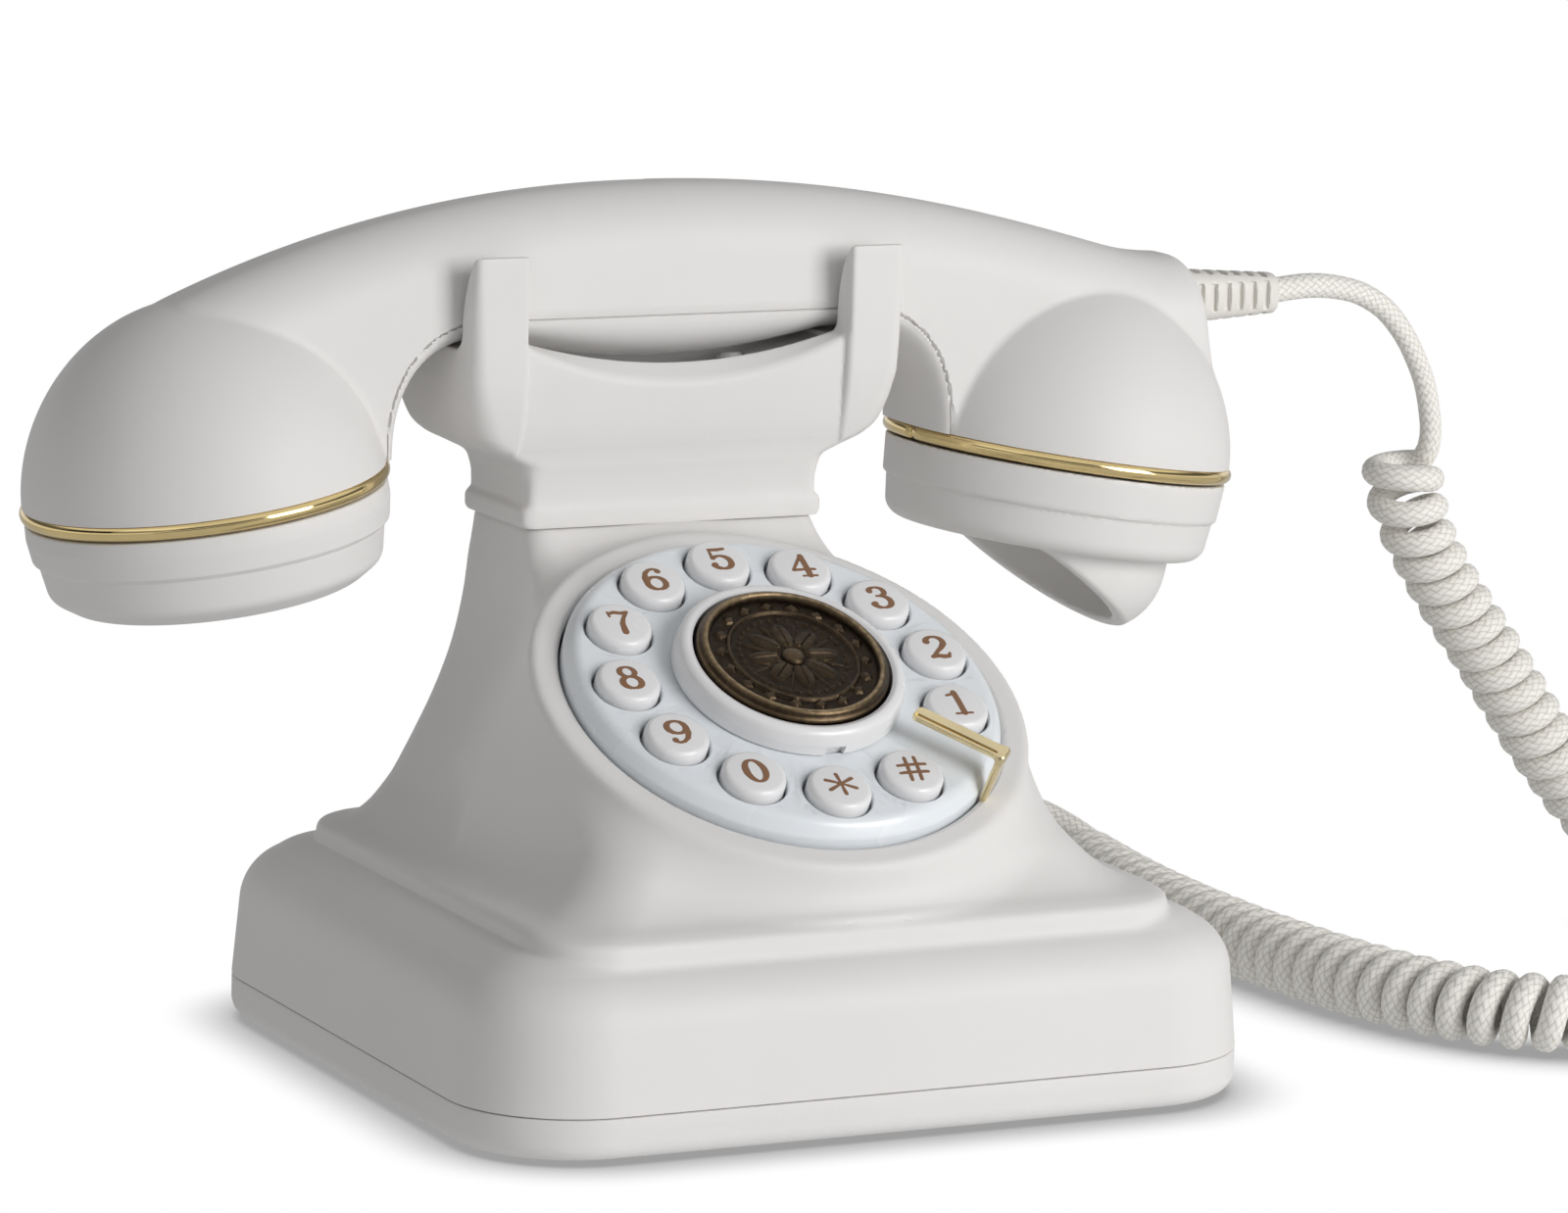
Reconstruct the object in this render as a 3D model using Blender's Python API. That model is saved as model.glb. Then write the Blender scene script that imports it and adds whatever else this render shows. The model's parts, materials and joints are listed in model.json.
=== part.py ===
"""Retro cradle telephone with a push-button dial, a lift-off handset and a curly cord.

Metres, +Z up.  The origin is the middle of the base's footprint, on the surface that the telephone
stands on.  The dial is at the front (-Y), and the handset lies along X.
"""
import math

import bmesh
import bpy
from mathutils import Matrix, Vector

# ---------------------------------------------------------------- clearances
SEAT_GAP = 0.0003          # between pieces that rest on each other
FIT_GAP = 0.0004           # round a piece that sits in a hole
KEY_GAP = 0.0005           # round a button in its hole

# ---------------------------------------------------------------- base
BASE_HALF_WIDTH = 0.075
BASE_HALF_DEPTH = 0.0706
BASE_CORNER = 0.0224
SEAM_Z = 0.0085            # where the bottom cover meets the body
WALL = 0.0024
PLATE_UNDERSIDE = 0.0008   # bottom cover above the table, on its feet
PLATE_FLOOR = 0.0024       # thickness of the bottom cover
PLATE_EDGE_ROUND = 0.0032
FOOT_RADIUS = 0.0065
FOOT_SINK = 0.0010         # how far a foot sits in its recess
FOOT_INSET = 0.0210
FOOT_SET_BACK = 0.0080     # extra inset front and back, clear of the screws
SCREW_INSET = 0.0180       # case screws from the outer wall
SCREW_HEAD_RADIUS = 0.0026
SCREW_SHANK_RADIUS = 0.0012
BOSS_RADIUS = 0.0036
BOSS_TOP_Z = 0.0336

# ---------------------------------------------------------------- pedestal and neck
CRADLE_Y = 0.0403          # the plane through the middle of cradle and handset
NECK_HALF_WIDTH = 0.0285
NECK_HALF_DEPTH = 0.0140
NECK_CORNER = 0.0040
BODY_TOP_Z = 0.0926

# ---------------------------------------------------------------- dial
DIAL_Y = -0.0220
DIAL_Z = 0.0723
DIAL_TILT = math.radians(30.4)        # dial face from the horizontal
DIAL_RADIUS = 0.0403
DIAL_SKIN = 0.0022
DIAL_SKIRT_DEPTH = 0.0067
DIAL_SKIRT_WALL = 0.0022
BEZEL_RADIUS = 0.0455
BEZEL_HEIGHT = -0.0039     # the bezel's face below the dial's face
DRUM_DEPTH = 0.0340
KEY_RADIUS = 0.0058
KEY_RISE = 0.0022          # a button's crown above the dial's face
KEY_FLANGE_RADIUS = 0.0070
KEY_FLANGE = 0.0012
KEY_STEM_RADIUS = 0.0022
KEY_TRAVEL = 0.0016
KEY_CIRCLE = 0.0307
KEY_FIRST_ANGLE = math.radians(-22.4)
KEY_STEP_ANGLE = math.radians(28.8)
KEY_NAMES = ["1", "2", "3", "4", "5", "6", "7", "8", "9", "0", "star", "hash"]
RING_RADIUS = 0.0217       # the white ring round the redial button
RING_RISE = 0.0032
REDIAL_RADIUS = 0.0181
REDIAL_RIM_RADIUS = 0.0161
REDIAL_RISE = 0.0066
REDIAL_FLANGE = 0.0014
REDIAL_TRAVEL = 0.0015
MAT_THICKNESS = 0.0018
BOARD_THICKNESS = 0.0016
STOP_ANGLE = math.radians(-46.0)
STOP_WIDTH = 0.0030
STOP_THICKNESS = 0.0012
STOP_HEIGHT = 0.0062       # top of the finger stop above the dial's face
STOP_REACH = 0.0240        # the arm's tip from the dial's centre
STOP_SINK = 0.0014

# ---------------------------------------------------------------- cradle
BEAD_HEIGHT = 0.0040
BEAD_PROUD = 0.0009
PRONG_TOP_Z = 0.1431
PRONG_ROOT_Z = 0.1150      # where the flare under a prong ends
PRONG_INNER_X = 0.0316
PRONG_OUTER_X = 0.0427
PRONG_FACE = 0.0202        # outer face of a prong from the middle plane
WALL_RECESS = 0.0012       # the wall between two prongs behind their faces
RECESS_FOOT_Z = 0.1045     # where that recess runs out below
RECESS_FULL_Z = 0.1130     # and where it has its full depth
SADDLE_LOW_Z = 0.1220      # lowest point of the walls between the prongs
SADDLE_RISE = 0.0042       # and how far they rise towards the prongs
TROUGH_LOW_Z = 0.1187
TROUGH_HALF_DEPTH = 0.0143
SEAT_RELIEF = 0.0012       # the trough's floor under the handset's bends
TROUGH_FLARE = 0.0050

# ---------------------------------------------------------------- hook switch
PLUNGER_X = 0.0170
PLUNGER_RADIUS = 0.0024
HOOK_TRAVEL = 0.0040
YOKE_Z = 0.0990
YOKE_SIZE = (0.0440, 0.0080, 0.0030)
STEM_RADIUS = 0.0020
SPRING_RADIUS = 0.0034
SPRING_WIRE = 0.0004
SPRING_TURNS = 4
SWITCH_SIZE = (0.0200, 0.0090, 0.0100)
SWITCH_DEPTH = 0.0100      # top of the switch below the body's top
SWITCH_PLATE_DROP = 0.0040
SWITCH_POST_X = 0.0150
SWITCH_POST_Y = 0.0096
SWITCH_POST_RADIUS = 0.0014

# ---------------------------------------------------------------- handset
HANDLE_HALF_DEPTH = 0.0137
HANDLE_CORNER = 0.0080
HANDLE_WALL = 0.0023
HANDLE_TOP_Z = 0.1537
CREASE_Z = 0.1308          # lower edge of the upper shell, in the middle
CREASE_HALF_SPAN = 0.0565
CREASE_BEND = (0.0205, 0.0238)
BELLY_DROP = 0.0096        # the lower shell below that edge, in the middle
BELLY_CURVE = 0.0045       # and its rise at the prongs
BELLY_END = 0.0034
BELLY_WALL = 0.0020
CUP_X = 0.0858
CUP_Z = 0.1006
CUP_TILT = math.radians(8.6)
CUP_RADIUS = 0.0326
CUP_HEIGHT = 0.0362
GOLD_RING_RADIUS = 0.0320
GOLD_RING_WIRE = 0.0013
CAP_RADIUS = 0.0331
CAP_STEP = 0.0012
CAP_STEP_DEPTH = 0.0094
CAP_WALL = 0.0026
SPIGOT_HEIGHT = 0.0034
SPIGOT_GAP = 0.0014        # round a cap's spigot in its cup, which tapers
EAR_CAP_DEPTH = 0.0206
MOUTH_CAP_DEPTH = 0.0178
SCOOP_RADIUS = 0.0236
SCOOP_DEPTH = 0.0158
SCOOP_WALL = 0.0024
SCOOP_SLOPE = math.radians(30.0)
SCOOP_START = -0.0098
HANDLE_LEFT_X = -0.0950    # the handle's hidden end in the earpiece's cup
END_TOP_Z = 0.1367
END_X = 0.1102
RELIEF_Z = 0.1286
RELIEF_LENGTH = 0.0220
RELIEF_RADII = (0.0044, 0.0029)
RELIEF_RIBS = 6

# ---------------------------------------------------------------- cord and sockets
CORD_RADIUS = 0.00215
COIL_RADIUS = 0.0072
JACK_X = 0.0480
JACK_Z = 0.0180
JACK_SIZE = (0.0130, 0.0145, 0.0130)
JACK_FACE_INSET = 0.0006
LINE_JACK_X = -0.0300
PLUG_SIZE = (0.0076, 0.0105, 0.0064)
BOOT_LENGTH = 0.0120

# The handset cord's route, chosen by hand: down from the handset, over the table and back.
UPPER_CORD_ROUTE = [
    (0.1326, 0.0403, 0.1287), (0.1400, 0.0403, 0.1291), (0.1472, 0.0403, 0.1284),
    (0.1530, 0.0403, 0.1262), (0.1579, 0.0403, 0.1224), (0.1617, 0.0403, 0.1172),
    (0.1646, 0.0403, 0.1115), (0.1665, 0.0403, 0.1058), (0.1672, 0.0403, 0.0998),
    (0.1668, 0.0403, 0.0947),
]
COIL_ROUTE = [
    (0.1620, 0.0403, 0.0925), (0.1636, 0.0403, 0.0851), (0.1664, 0.0403, 0.0788),
    (0.1697, 0.0403, 0.0734), (0.1730, 0.0403, 0.0684), (0.1766, 0.0403, 0.0635),
    (0.1802, 0.0403, 0.0588), (0.1836, 0.0403, 0.0542), (0.1869, 0.0403, 0.0495),
    (0.1902, 0.0403, 0.0449), (0.1935, 0.0403, 0.0402), (0.1971, 0.0403, 0.0356),
    (0.2010, 0.0404, 0.0310), (0.2055, 0.0398, 0.0255), (0.2107, 0.0380, 0.0198),
    (0.2167, 0.0340, 0.0142), (0.2224, 0.0265, 0.0099), (0.2260, 0.0155, 0.0078),
    (0.2272, 0.0020, 0.0075), (0.2240, -0.0135, 0.0075), (0.2165, -0.0290, 0.0075),
    (0.2050, -0.0425, 0.0075), (0.1900, -0.0530, 0.0075), (0.1730, -0.0590, 0.0075),
    (0.1570, -0.0595, 0.0075), (0.1430, -0.0550, 0.0075), (0.1325, -0.0450, 0.0075),
    (0.1255, -0.0300, 0.0075), (0.1212, -0.0120, 0.0075), (0.1189, 0.0065, 0.0075),
    (0.1179, 0.0250, 0.0075), (0.1180, 0.0430, 0.0075), (0.1189, 0.0600, 0.0075),
    (0.1208, 0.0780, 0.0075), (0.1235, 0.0960, 0.0075),
]
LOWER_CORD_ROUTE = [
    (0.1239, 0.0964, 0.0124), (0.1239, 0.1025, 0.0135), (0.1205, 0.1075, 0.0157),
    (0.1140, 0.1085, 0.0173), (0.1050, 0.1050, 0.0180), (0.0950, 0.1003, 0.0182),
    (0.0850, 0.0970, 0.0182), (0.0750, 0.0958, 0.0181), (0.0650, 0.0968, 0.0180),
    (0.0570, 0.0966, 0.0180), (0.0507, 0.0930, 0.0180), (0.0483, 0.0880, 0.0180),
    (0.0480, 0.0823, 0.0180),
]

SEGMENTS_CUP = 32
SEGMENTS_HOLLOW = 20
SEGMENTS_DIAL = 40
SEGMENTS_BUTTON = 24
SEGMENTS_KEY = 12
DOME_STEPS = 7


# ---------------------------------------------------------------- scene and materials
def clear_scene():
    for item in list(bpy.data.objects):
        bpy.data.objects.remove(item, do_unlink=True)


def material(name, color, roughness, metallic=0.0):
    made = bpy.data.materials.new(name)
    made.use_nodes = True
    shader = made.node_tree.nodes["Principled BSDF"]
    shader.inputs["Base Color"].default_value = (*color, 1.0)
    shader.inputs["Roughness"].default_value = roughness
    shader.inputs["Metallic"].default_value = metallic
    made.diffuse_color = (*color, 1.0)
    return made


# ---------------------------------------------------------------- modelling helpers
def add_object(name, bm, finish=None, matrix=None, smooth=True):
    """Makes an object from a bmesh whose faces it turns outwards."""
    bmesh.ops.recalc_face_normals(bm, faces=bm.faces)
    mesh = bpy.data.meshes.new(name)
    bm.to_mesh(mesh)
    bm.free()
    if smooth:
        mesh.shade_smooth()
        mesh.set_sharp_from_angle(angle=math.radians(35))
    if finish:
        mesh.materials.append(finish)
    made = bpy.data.objects.new(name, mesh)
    bpy.context.scene.collection.objects.link(made)
    if matrix:
        made.matrix_world = matrix
    return made


def loft(bm, rings):
    """Joins closed rings of equal length into one capped skin."""
    loops = [[bm.verts.new(point) for point in ring] for ring in rings]
    count = len(loops[0])
    for lower, upper in zip(loops, loops[1:]):
        for i in range(count):
            j = (i + 1) % count
            bm.faces.new((lower[i], lower[j], upper[j], upper[i]))
    bm.faces.new(list(reversed(loops[0])))
    bm.faces.new(loops[-1])


def lathe(bm, profile, segments, matrix=None):
    """Turns a closed profile of (radius, height) round Z; radius 0 makes a pole."""
    rings = []
    for radius, height in profile:
        if radius < 1e-7:
            rings.append([bm.verts.new((0, 0, height))])
            continue
        ring = []
        for i in range(segments):
            angle = 2 * math.pi * i / segments
            ring.append(bm.verts.new((radius * math.cos(angle), radius * math.sin(angle), height)))
        rings.append(ring)
    pairs = list(zip(rings, rings[1:] + rings[:1]))
    for first, second in pairs:
        if len(first) == 1 and len(second) == 1:
            continue
        for i in range(segments):
            j = (i + 1) % segments
            if len(first) == 1:
                bm.faces.new((first[0], second[i], second[j]))
            elif len(second) == 1:
                bm.faces.new((first[i], first[j], second[0]))
            else:
                bm.faces.new((first[i], first[j], second[j], second[i]))
    if matrix:
        verts = [vert for ring in rings for vert in ring]
        bmesh.ops.transform(bm, matrix=matrix, verts=verts)


def box(bm, low, high):
    """An axis-aligned box between two corners."""
    size = [b - a for a, b in zip(low, high)]
    centre = [(a + b) / 2 for a, b in zip(low, high)]
    matrix = Matrix.Translation(centre) @ Matrix.Diagonal((*size, 1.0))
    bmesh.ops.create_cube(bm, size=1.0, matrix=matrix)


def rod(bm, radius, low, high, at=(0, 0), segments=16):
    """An upright cylinder from height low to high."""
    matrix = Matrix.Translation((at[0], at[1], 0))
    lathe(bm, [(0, low), (radius, low), (radius, high), (0, high)], segments, matrix)


def rounded_rect(half_x, front, back, radius, z_front, z_back=None, per_corner=6):
    """A ring of points round a rectangle with round corners; its height may slope from front to back."""
    z_back = z_front if z_back is None else z_back
    points = []
    corners = [
        (half_x - radius, front + radius, -90), (half_x - radius, back - radius, 0),
        (-half_x + radius, back - radius, 90), (-half_x + radius, front + radius, 180),
    ]
    for cx, cy, start in corners:
        for k in range(per_corner):
            angle = math.radians(start + 90 * k / (per_corner - 1))
            x = cx + radius * math.cos(angle)
            y = cy + radius * math.sin(angle)
            share = (y - front) / (back - front)
            points.append(Vector((x, y, z_front + share * (z_back - z_front))))
    return points


def boolean(target, cutter, operation="DIFFERENCE", solver="EXACT"):
    """Cuts with or joins another object, which stays as a hidden guide."""
    step = target.modifiers.new(cutter.name, "BOOLEAN")
    step.operation = operation
    step.solver = solver
    step.object = cutter
    cutter.hide_render = True
    cutter.display_type = "WIRE"


def smooth_route(points, spacing):
    """Reads evenly spaced points from a Catmull-Rom curve through the route's own points."""
    route = [Vector(point) for point in points]
    ends = [2 * route[0] - route[1]] + route + [2 * route[-1] - route[-2]]
    fine = []
    for a, b, c, d in zip(ends, ends[1:], ends[2:], ends[3:]):
        for k in range(24):
            t = k / 24
            fine.append(0.5 * (2 * b + (c - a) * t + (2 * a - 5 * b + 4 * c - d) * t * t
                               + (3 * b - a - 3 * c + d) * t ** 3))
    fine.append(route[-1])
    length = sum((b - a).length for a, b in zip(fine, fine[1:]))
    count = max(2, round(length / spacing))
    kept = [fine[0]]
    walked = 0.0
    for a, b in zip(fine, fine[1:]):
        walked += (b - a).length
        if walked >= length * len(kept) / count and len(kept) < count:
            kept.append(b)
    kept.append(fine[-1])
    return kept


def tube(name, points, radius, finish, resolution=2):
    """A round tube with flat ends along a list of points."""
    curve = bpy.data.curves.new(name, "CURVE")
    curve.dimensions = "3D"
    curve.bevel_depth = radius
    curve.bevel_resolution = resolution
    curve.use_fill_caps = True
    spline = curve.splines.new("POLY")
    spline.points.add(len(points) - 1)
    for place, point in zip(spline.points, points):
        place.co = (*point, 1.0)
    curve.materials.append(finish)
    made = bpy.data.objects.new(name, curve)
    bpy.context.scene.collection.objects.link(made)
    return made


# ---------------------------------------------------------------- frames
def dial_frame():
    """Z along the dial's axis, out of its face; X to the right."""
    return Matrix.Translation((0, DIAL_Y, DIAL_Z)) @ Matrix.Rotation(DIAL_TILT, 4, "X")


def cup_frame(side):
    """Z up along a cup's axis, from the plane of its gold ring; X points away from the middle."""
    turn = Matrix.Rotation(CUP_TILT, 4, "Y")
    face = Matrix.Identity(4) if side > 0 else Matrix.Rotation(math.pi, 4, "Z")
    return Matrix.Translation((side * CUP_X, CRADLE_Y, CUP_Z)) @ face @ turn


def key_place(index):
    angle = KEY_FIRST_ANGLE + KEY_STEP_ANGLE * index
    return KEY_CIRCLE * math.cos(angle), KEY_CIRCLE * math.sin(angle)


# ---------------------------------------------------------------- body
def body_sections():
    """Half width, front, back, corner, height at the front and height at the back, from the seam up."""
    w, d, c = BASE_HALF_WIDTH, BASE_HALF_DEPTH, BASE_CORNER
    y = CRADLE_Y
    back = y + NECK_HALF_DEPTH
    return [
        (w, -d, d, c, SEAM_Z + SEAT_GAP / 2, None),
        (w - 0.0015, -d + 0.0015, d - 0.0015, c - 0.001, 0.0242, None),
        (w - 0.0027, -d + 0.0027, d - 0.0027, c - 0.002, 0.0274, None),
        (w - 0.0045, -d + 0.0043, d - 0.0045, c - 0.003, 0.0303, None),
        (w - 0.0070, -d + 0.0061, d - 0.0070, c - 0.005, 0.0318, 0.0322),
        (w - 0.0131, -d + 0.0083, d - 0.0131, c - 0.009, 0.0329, 0.0344),
        (w - 0.0137, -d + 0.0087, d - 0.0137, c - 0.009, 0.0343, 0.0358),
        (w - 0.0153, -d + 0.0101, d - 0.0148, c - 0.010, 0.0357, 0.0370),
        (0.0548, -0.0561, back + 0.0005, 0.0115, 0.0381, None),
        (0.0505, -0.0526, back, 0.0110, 0.0412, None),
        (0.0466, -0.0492, back, 0.0105, 0.0455, None),
        (0.0421, -0.0400, back, 0.0100, 0.0530, None),
        (0.0381, -0.0270, back, 0.0095, 0.0605, None),
        (0.0343, -0.0110, back, 0.0085, 0.0694, None),
        (0.0318, 0.0045, back, 0.0070, 0.0784, None),
        (0.0302, 0.0155, back, 0.0055, 0.0850, None),
        (0.0291, 0.0232, back, 0.0045, 0.0895, None),
        (NECK_HALF_WIDTH, y - NECK_HALF_DEPTH, back, NECK_CORNER, BODY_TOP_Z, None),
    ]


def body_skin(inset, low, high, per_corner):
    """The body's form, each section pulled in by a wall."""
    bm = bmesh.new()
    rings = []
    for half, front, back, corner, z_front, z_back in body_sections():
        z_back = z_front if z_back is None else z_back
        rings.append(rounded_rect(half - inset, front + inset, back - inset,
                                  max(corner - inset, 0.0012), z_front - high, z_back - high, per_corner))
    if low:
        half, front, back, corner, z_front, z_back = body_sections()[0]
        rings[0] = rounded_rect(half - inset, front + inset, back - inset,
                                corner - inset, z_front - low, None, per_corner)
    loft(bm, rings)
    return bm


def dial_well_profile():
    """The bore that the dial drops into, the ledge it rests on and the hollow drum below."""
    bore = DIAL_RADIUS + FIT_GAP
    ledge = -DIAL_SKIRT_DEPTH - SEAT_GAP
    hollow = ledge - WALL
    floor = -DRUM_DEPTH + WALL
    inside = BEZEL_RADIUS - WALL
    return [(0, floor), (inside, floor), (inside, hollow), (bore - 0.0030, hollow),
            (bore - 0.0030, ledge), (bore, ledge), (bore, 0.0060), (0, 0.0060)]


def screw_places():
    x = BASE_HALF_WIDTH - SCREW_INSET
    y = BASE_HALF_DEPTH - SCREW_INSET
    return [(sx * x, sy * y) for sx in (-1, 1) for sy in (-1, 1)]


def make_body(white):
    body = add_object("body_shell", body_skin(0, 0, 0, 5), white)
    drum = bmesh.new()
    face = BEZEL_HEIGHT
    lathe(drum, [(0, -DRUM_DEPTH), (BEZEL_RADIUS + 0.0010, -DRUM_DEPTH),
                 (BEZEL_RADIUS + 0.0003, -0.0140), (BEZEL_RADIUS, face - 0.0010),
                 (BEZEL_RADIUS - 0.0010, face), (0, face)], SEGMENTS_DIAL)
    boolean(body, add_object("guide_drum", drum, matrix=dial_frame()), "UNION")
    boolean(body, add_object("guide_inside", body_skin(WALL, 0.0010, WALL, 3)))
    well = bmesh.new()
    lathe(well, dial_well_profile(), SEGMENTS_DIAL)
    boolean(body, add_object("guide_dial_well", well, matrix=dial_frame()))
    posts = bmesh.new()
    bore = SCREW_SHANK_RADIUS + FIT_GAP
    for place in screw_places():
        lathe(posts, [(bore, boss_foot()), (BOSS_RADIUS, boss_foot()), (BOSS_RADIUS, BOSS_TOP_Z),
                      (0, BOSS_TOP_Z), (0, BOSS_TOP_Z - 0.0100), (bore, BOSS_TOP_Z - 0.0100)], 8,
              Matrix.Translation((*place, 0)))
    for x, y in switch_posts():
        rod(posts, SWITCH_POST_RADIUS, switch_plate_z() + SEAT_GAP, BODY_TOP_Z - WALL / 2, (x, y), 8)
    boolean(body, add_object("guide_posts", posts), "UNION", "MANIFOLD")
    holes = bmesh.new()
    hole_x = YOKE_SIZE[0] / 2 - 0.0010
    hole_y = NECK_HALF_DEPTH - 0.0062
    box(holes, (-hole_x, CRADLE_Y - hole_y, BODY_TOP_Z - 0.0050),
        (hole_x, CRADLE_Y + hole_y, BODY_TOP_Z + 0.0050))
    for centre in (JACK_X, LINE_JACK_X):
        half_x = JACK_SIZE[0] / 2 + FIT_GAP
        half_z = JACK_SIZE[2] / 2 + FIT_GAP
        box(holes, (centre - half_x, BASE_HALF_DEPTH - 0.0080, JACK_Z - half_z),
            (centre + half_x, BASE_HALF_DEPTH + 0.0050, JACK_Z + half_z))
    boolean(body, add_object("guide_openings", holes), solver="MANIFOLD")
    slot = bmesh.new()
    reach = stop_leg_radius()
    box(slot, (reach - FIT_GAP, -STOP_WIDTH / 2 - FIT_GAP, BEZEL_HEIGHT - STOP_SINK - SEAT_GAP),
        (reach + STOP_THICKNESS + FIT_GAP, STOP_WIDTH / 2 + FIT_GAP, 0.0020))
    boolean(body, add_object("guide_stop_slot", slot, matrix=stop_frame()), solver="MANIFOLD")
    return body


def boss_foot():
    """Lower end of the screw posts, above the bottom cover's floor."""
    return PLATE_UNDERSIDE + PLATE_FLOOR + SEAT_GAP


def make_base_plate(white):
    """A shallow tray, its edge rounded under, with recesses for the feet and the screw heads."""
    w, d, c = BASE_HALF_WIDTH, BASE_HALF_DEPTH, BASE_CORNER
    low, r = PLATE_UNDERSIDE, PLATE_EDGE_ROUND
    top = SEAM_Z - SEAT_GAP / 2
    bm = bmesh.new()
    rings = []
    for k in range(4):
        angle = math.radians(90 * k / 3)
        inset = r * (1 - math.sin(angle))
        rings.append(rounded_rect(w - inset, -d + inset, d - inset, c - inset,
                                  low + r * (1 - math.cos(angle))))
    rings.append(rounded_rect(w, -d, d, c, top))
    rings.append(rounded_rect(w - WALL, -d + WALL, d - WALL, c - WALL, top))
    rings.append(rounded_rect(w - WALL, -d + WALL, d - WALL, c - WALL, low + r))
    rings.append(rounded_rect(w - r - 0.0015, -d + r + 0.0015, d - r - 0.0015, c - r - 0.0015,
                              low + PLATE_FLOOR))
    loft(bm, rings)
    plate = add_object("base_plate", bm, white)
    cuts = bmesh.new()
    for place in foot_places():
        rod(cuts, FOOT_RADIUS + FIT_GAP, low - 0.0010, low + FOOT_SINK, place, 12)
    for place in screw_places():
        rod(cuts, SCREW_HEAD_RADIUS + FIT_GAP, low - 0.0010, low + 0.0012, place, 8)
        rod(cuts, SCREW_SHANK_RADIUS + FIT_GAP, low + 0.0002, low + 0.0080, place, 8)
    for k in range(-3, 4):
        x = SPEAKER_PLACE[0] + 0.0040 * k
        box(cuts, (x - 0.0008, SPEAKER_PLACE[1] - 0.0100, low - 0.0010),
            (x + 0.0008, SPEAKER_PLACE[1] + 0.0100, low + 0.0040))
    boolean(plate, add_object("guide_plate_cuts", cuts))
    posts = bmesh.new()
    for x, y in board_post_places():
        rod(posts, 0.0025, low + PLATE_FLOOR - 0.0006, BOARD_Z - SEAT_GAP, (x, y), 8)
    boolean(plate, add_object("guide_board_posts", posts), "UNION")
    return plate


def foot_places():
    x = BASE_HALF_WIDTH - FOOT_INSET
    y = BASE_HALF_DEPTH - FOOT_INSET - FOOT_SET_BACK
    return [(sx * x, sy * y) for sx in (-1, 1) for sy in (-1, 1)]


def copies(first, stem, matrices, labels=None):
    """Places an object and its copies, which share its mesh."""
    for index, matrix in enumerate(matrices):
        item = first if index == 0 else first.copy()
        item.name = stem + (labels[index] if labels else str(index + 1))
        if index:
            bpy.context.scene.collection.objects.link(item)
        item.matrix_world = matrix


def make_feet(rubber):
    bm = bmesh.new()
    top = PLATE_UNDERSIDE + FOOT_SINK - SEAT_GAP
    lathe(bm, [(0, 0), (FOOT_RADIUS - 0.0006, 0), (FOOT_RADIUS, 0.0006), (FOOT_RADIUS, top), (0, top)], 12)
    foot = add_object("foot", bm, rubber)
    copies(foot, "foot_", [Matrix.Translation((*place, 0)) for place in foot_places()])


def make_case_screws(steel):
    """Screws that point up, with their heads in the bottom cover."""
    head, shank, thin = SCREW_HEAD_RADIUS, SCREW_SHANK_RADIUS, 0.0010
    bm = bmesh.new()
    lathe(bm, [(0, 0), (head, 0), (head, thin - 0.0002), (shank, thin), (shank, 0.0140), (0, 0.0140)], 8)
    low = PLATE_UNDERSIDE - 0.0001
    case_screw = add_object("case_screw", bm, steel)
    copies(case_screw, "case_screw_", [Matrix.Translation((*place, low)) for place in screw_places()])


# ---------------------------------------------------------------- inside the base
BOARD_Z = 0.0100
BOARD_SCREW_CLEARANCE = 0.0070
BOARD_BACK_INSET = 0.0156  # the board's rear edge from the rear wall's outside
BOARD_HALF = (BASE_HALF_WIDTH - SCREW_INSET - BOARD_SCREW_CLEARANCE, 0.0170)
BOARD_Y = BASE_HALF_DEPTH - BOARD_BACK_INSET - BOARD_HALF[1]
SPEAKER_PLACE = (0.0360, -0.0180)
SPEAKER_RADIUS = 0.0190
WEIGHT_PLACE = (-0.0300, -0.0230)
WEIGHT_HALF = (0.0250, 0.0200)


def board_post_places():
    return [(sx * (BOARD_HALF[0] - 0.0050), BOARD_Y + sy * (BOARD_HALF[1] - 0.0050))
            for sx in (-1, 1) for sy in (-1, 1)]


def make_base_internals(finish):
    floor = PLATE_UNDERSIDE + PLATE_FLOOR
    bm = bmesh.new()
    box(bm, (-BOARD_HALF[0], BOARD_Y - BOARD_HALF[1], BOARD_Z),
        (BOARD_HALF[0], BOARD_Y + BOARD_HALF[1], BOARD_Z + BOARD_THICKNESS))
    add_object("main_board", bm, finish["board"], smooth=False)

    bm = bmesh.new()
    x, y = WEIGHT_PLACE
    box(bm, (x - WEIGHT_HALF[0], y - WEIGHT_HALF[1], floor + SEAT_GAP),
        (x + WEIGHT_HALF[0], y + WEIGHT_HALF[1], floor + SEAT_GAP + 0.0060))
    add_object("ballast_weight", bm, finish["steel"], smooth=False)

    bm = bmesh.new()
    low = floor + SEAT_GAP
    r = SPEAKER_RADIUS
    lathe(bm, [(0, low + 0.0030), (0.0060, low + 0.0030), (r - 0.0030, low + 0.0006), (r - 0.0030, low),
               (r, low), (r, low + 0.0022), (0.0120, low + 0.0060), (0.0110, low + 0.0100), (0, low + 0.0100)],
          20, Matrix.Translation((*SPEAKER_PLACE, 0)))
    add_object("ringer_speaker", bm, finish["dark"])


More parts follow.
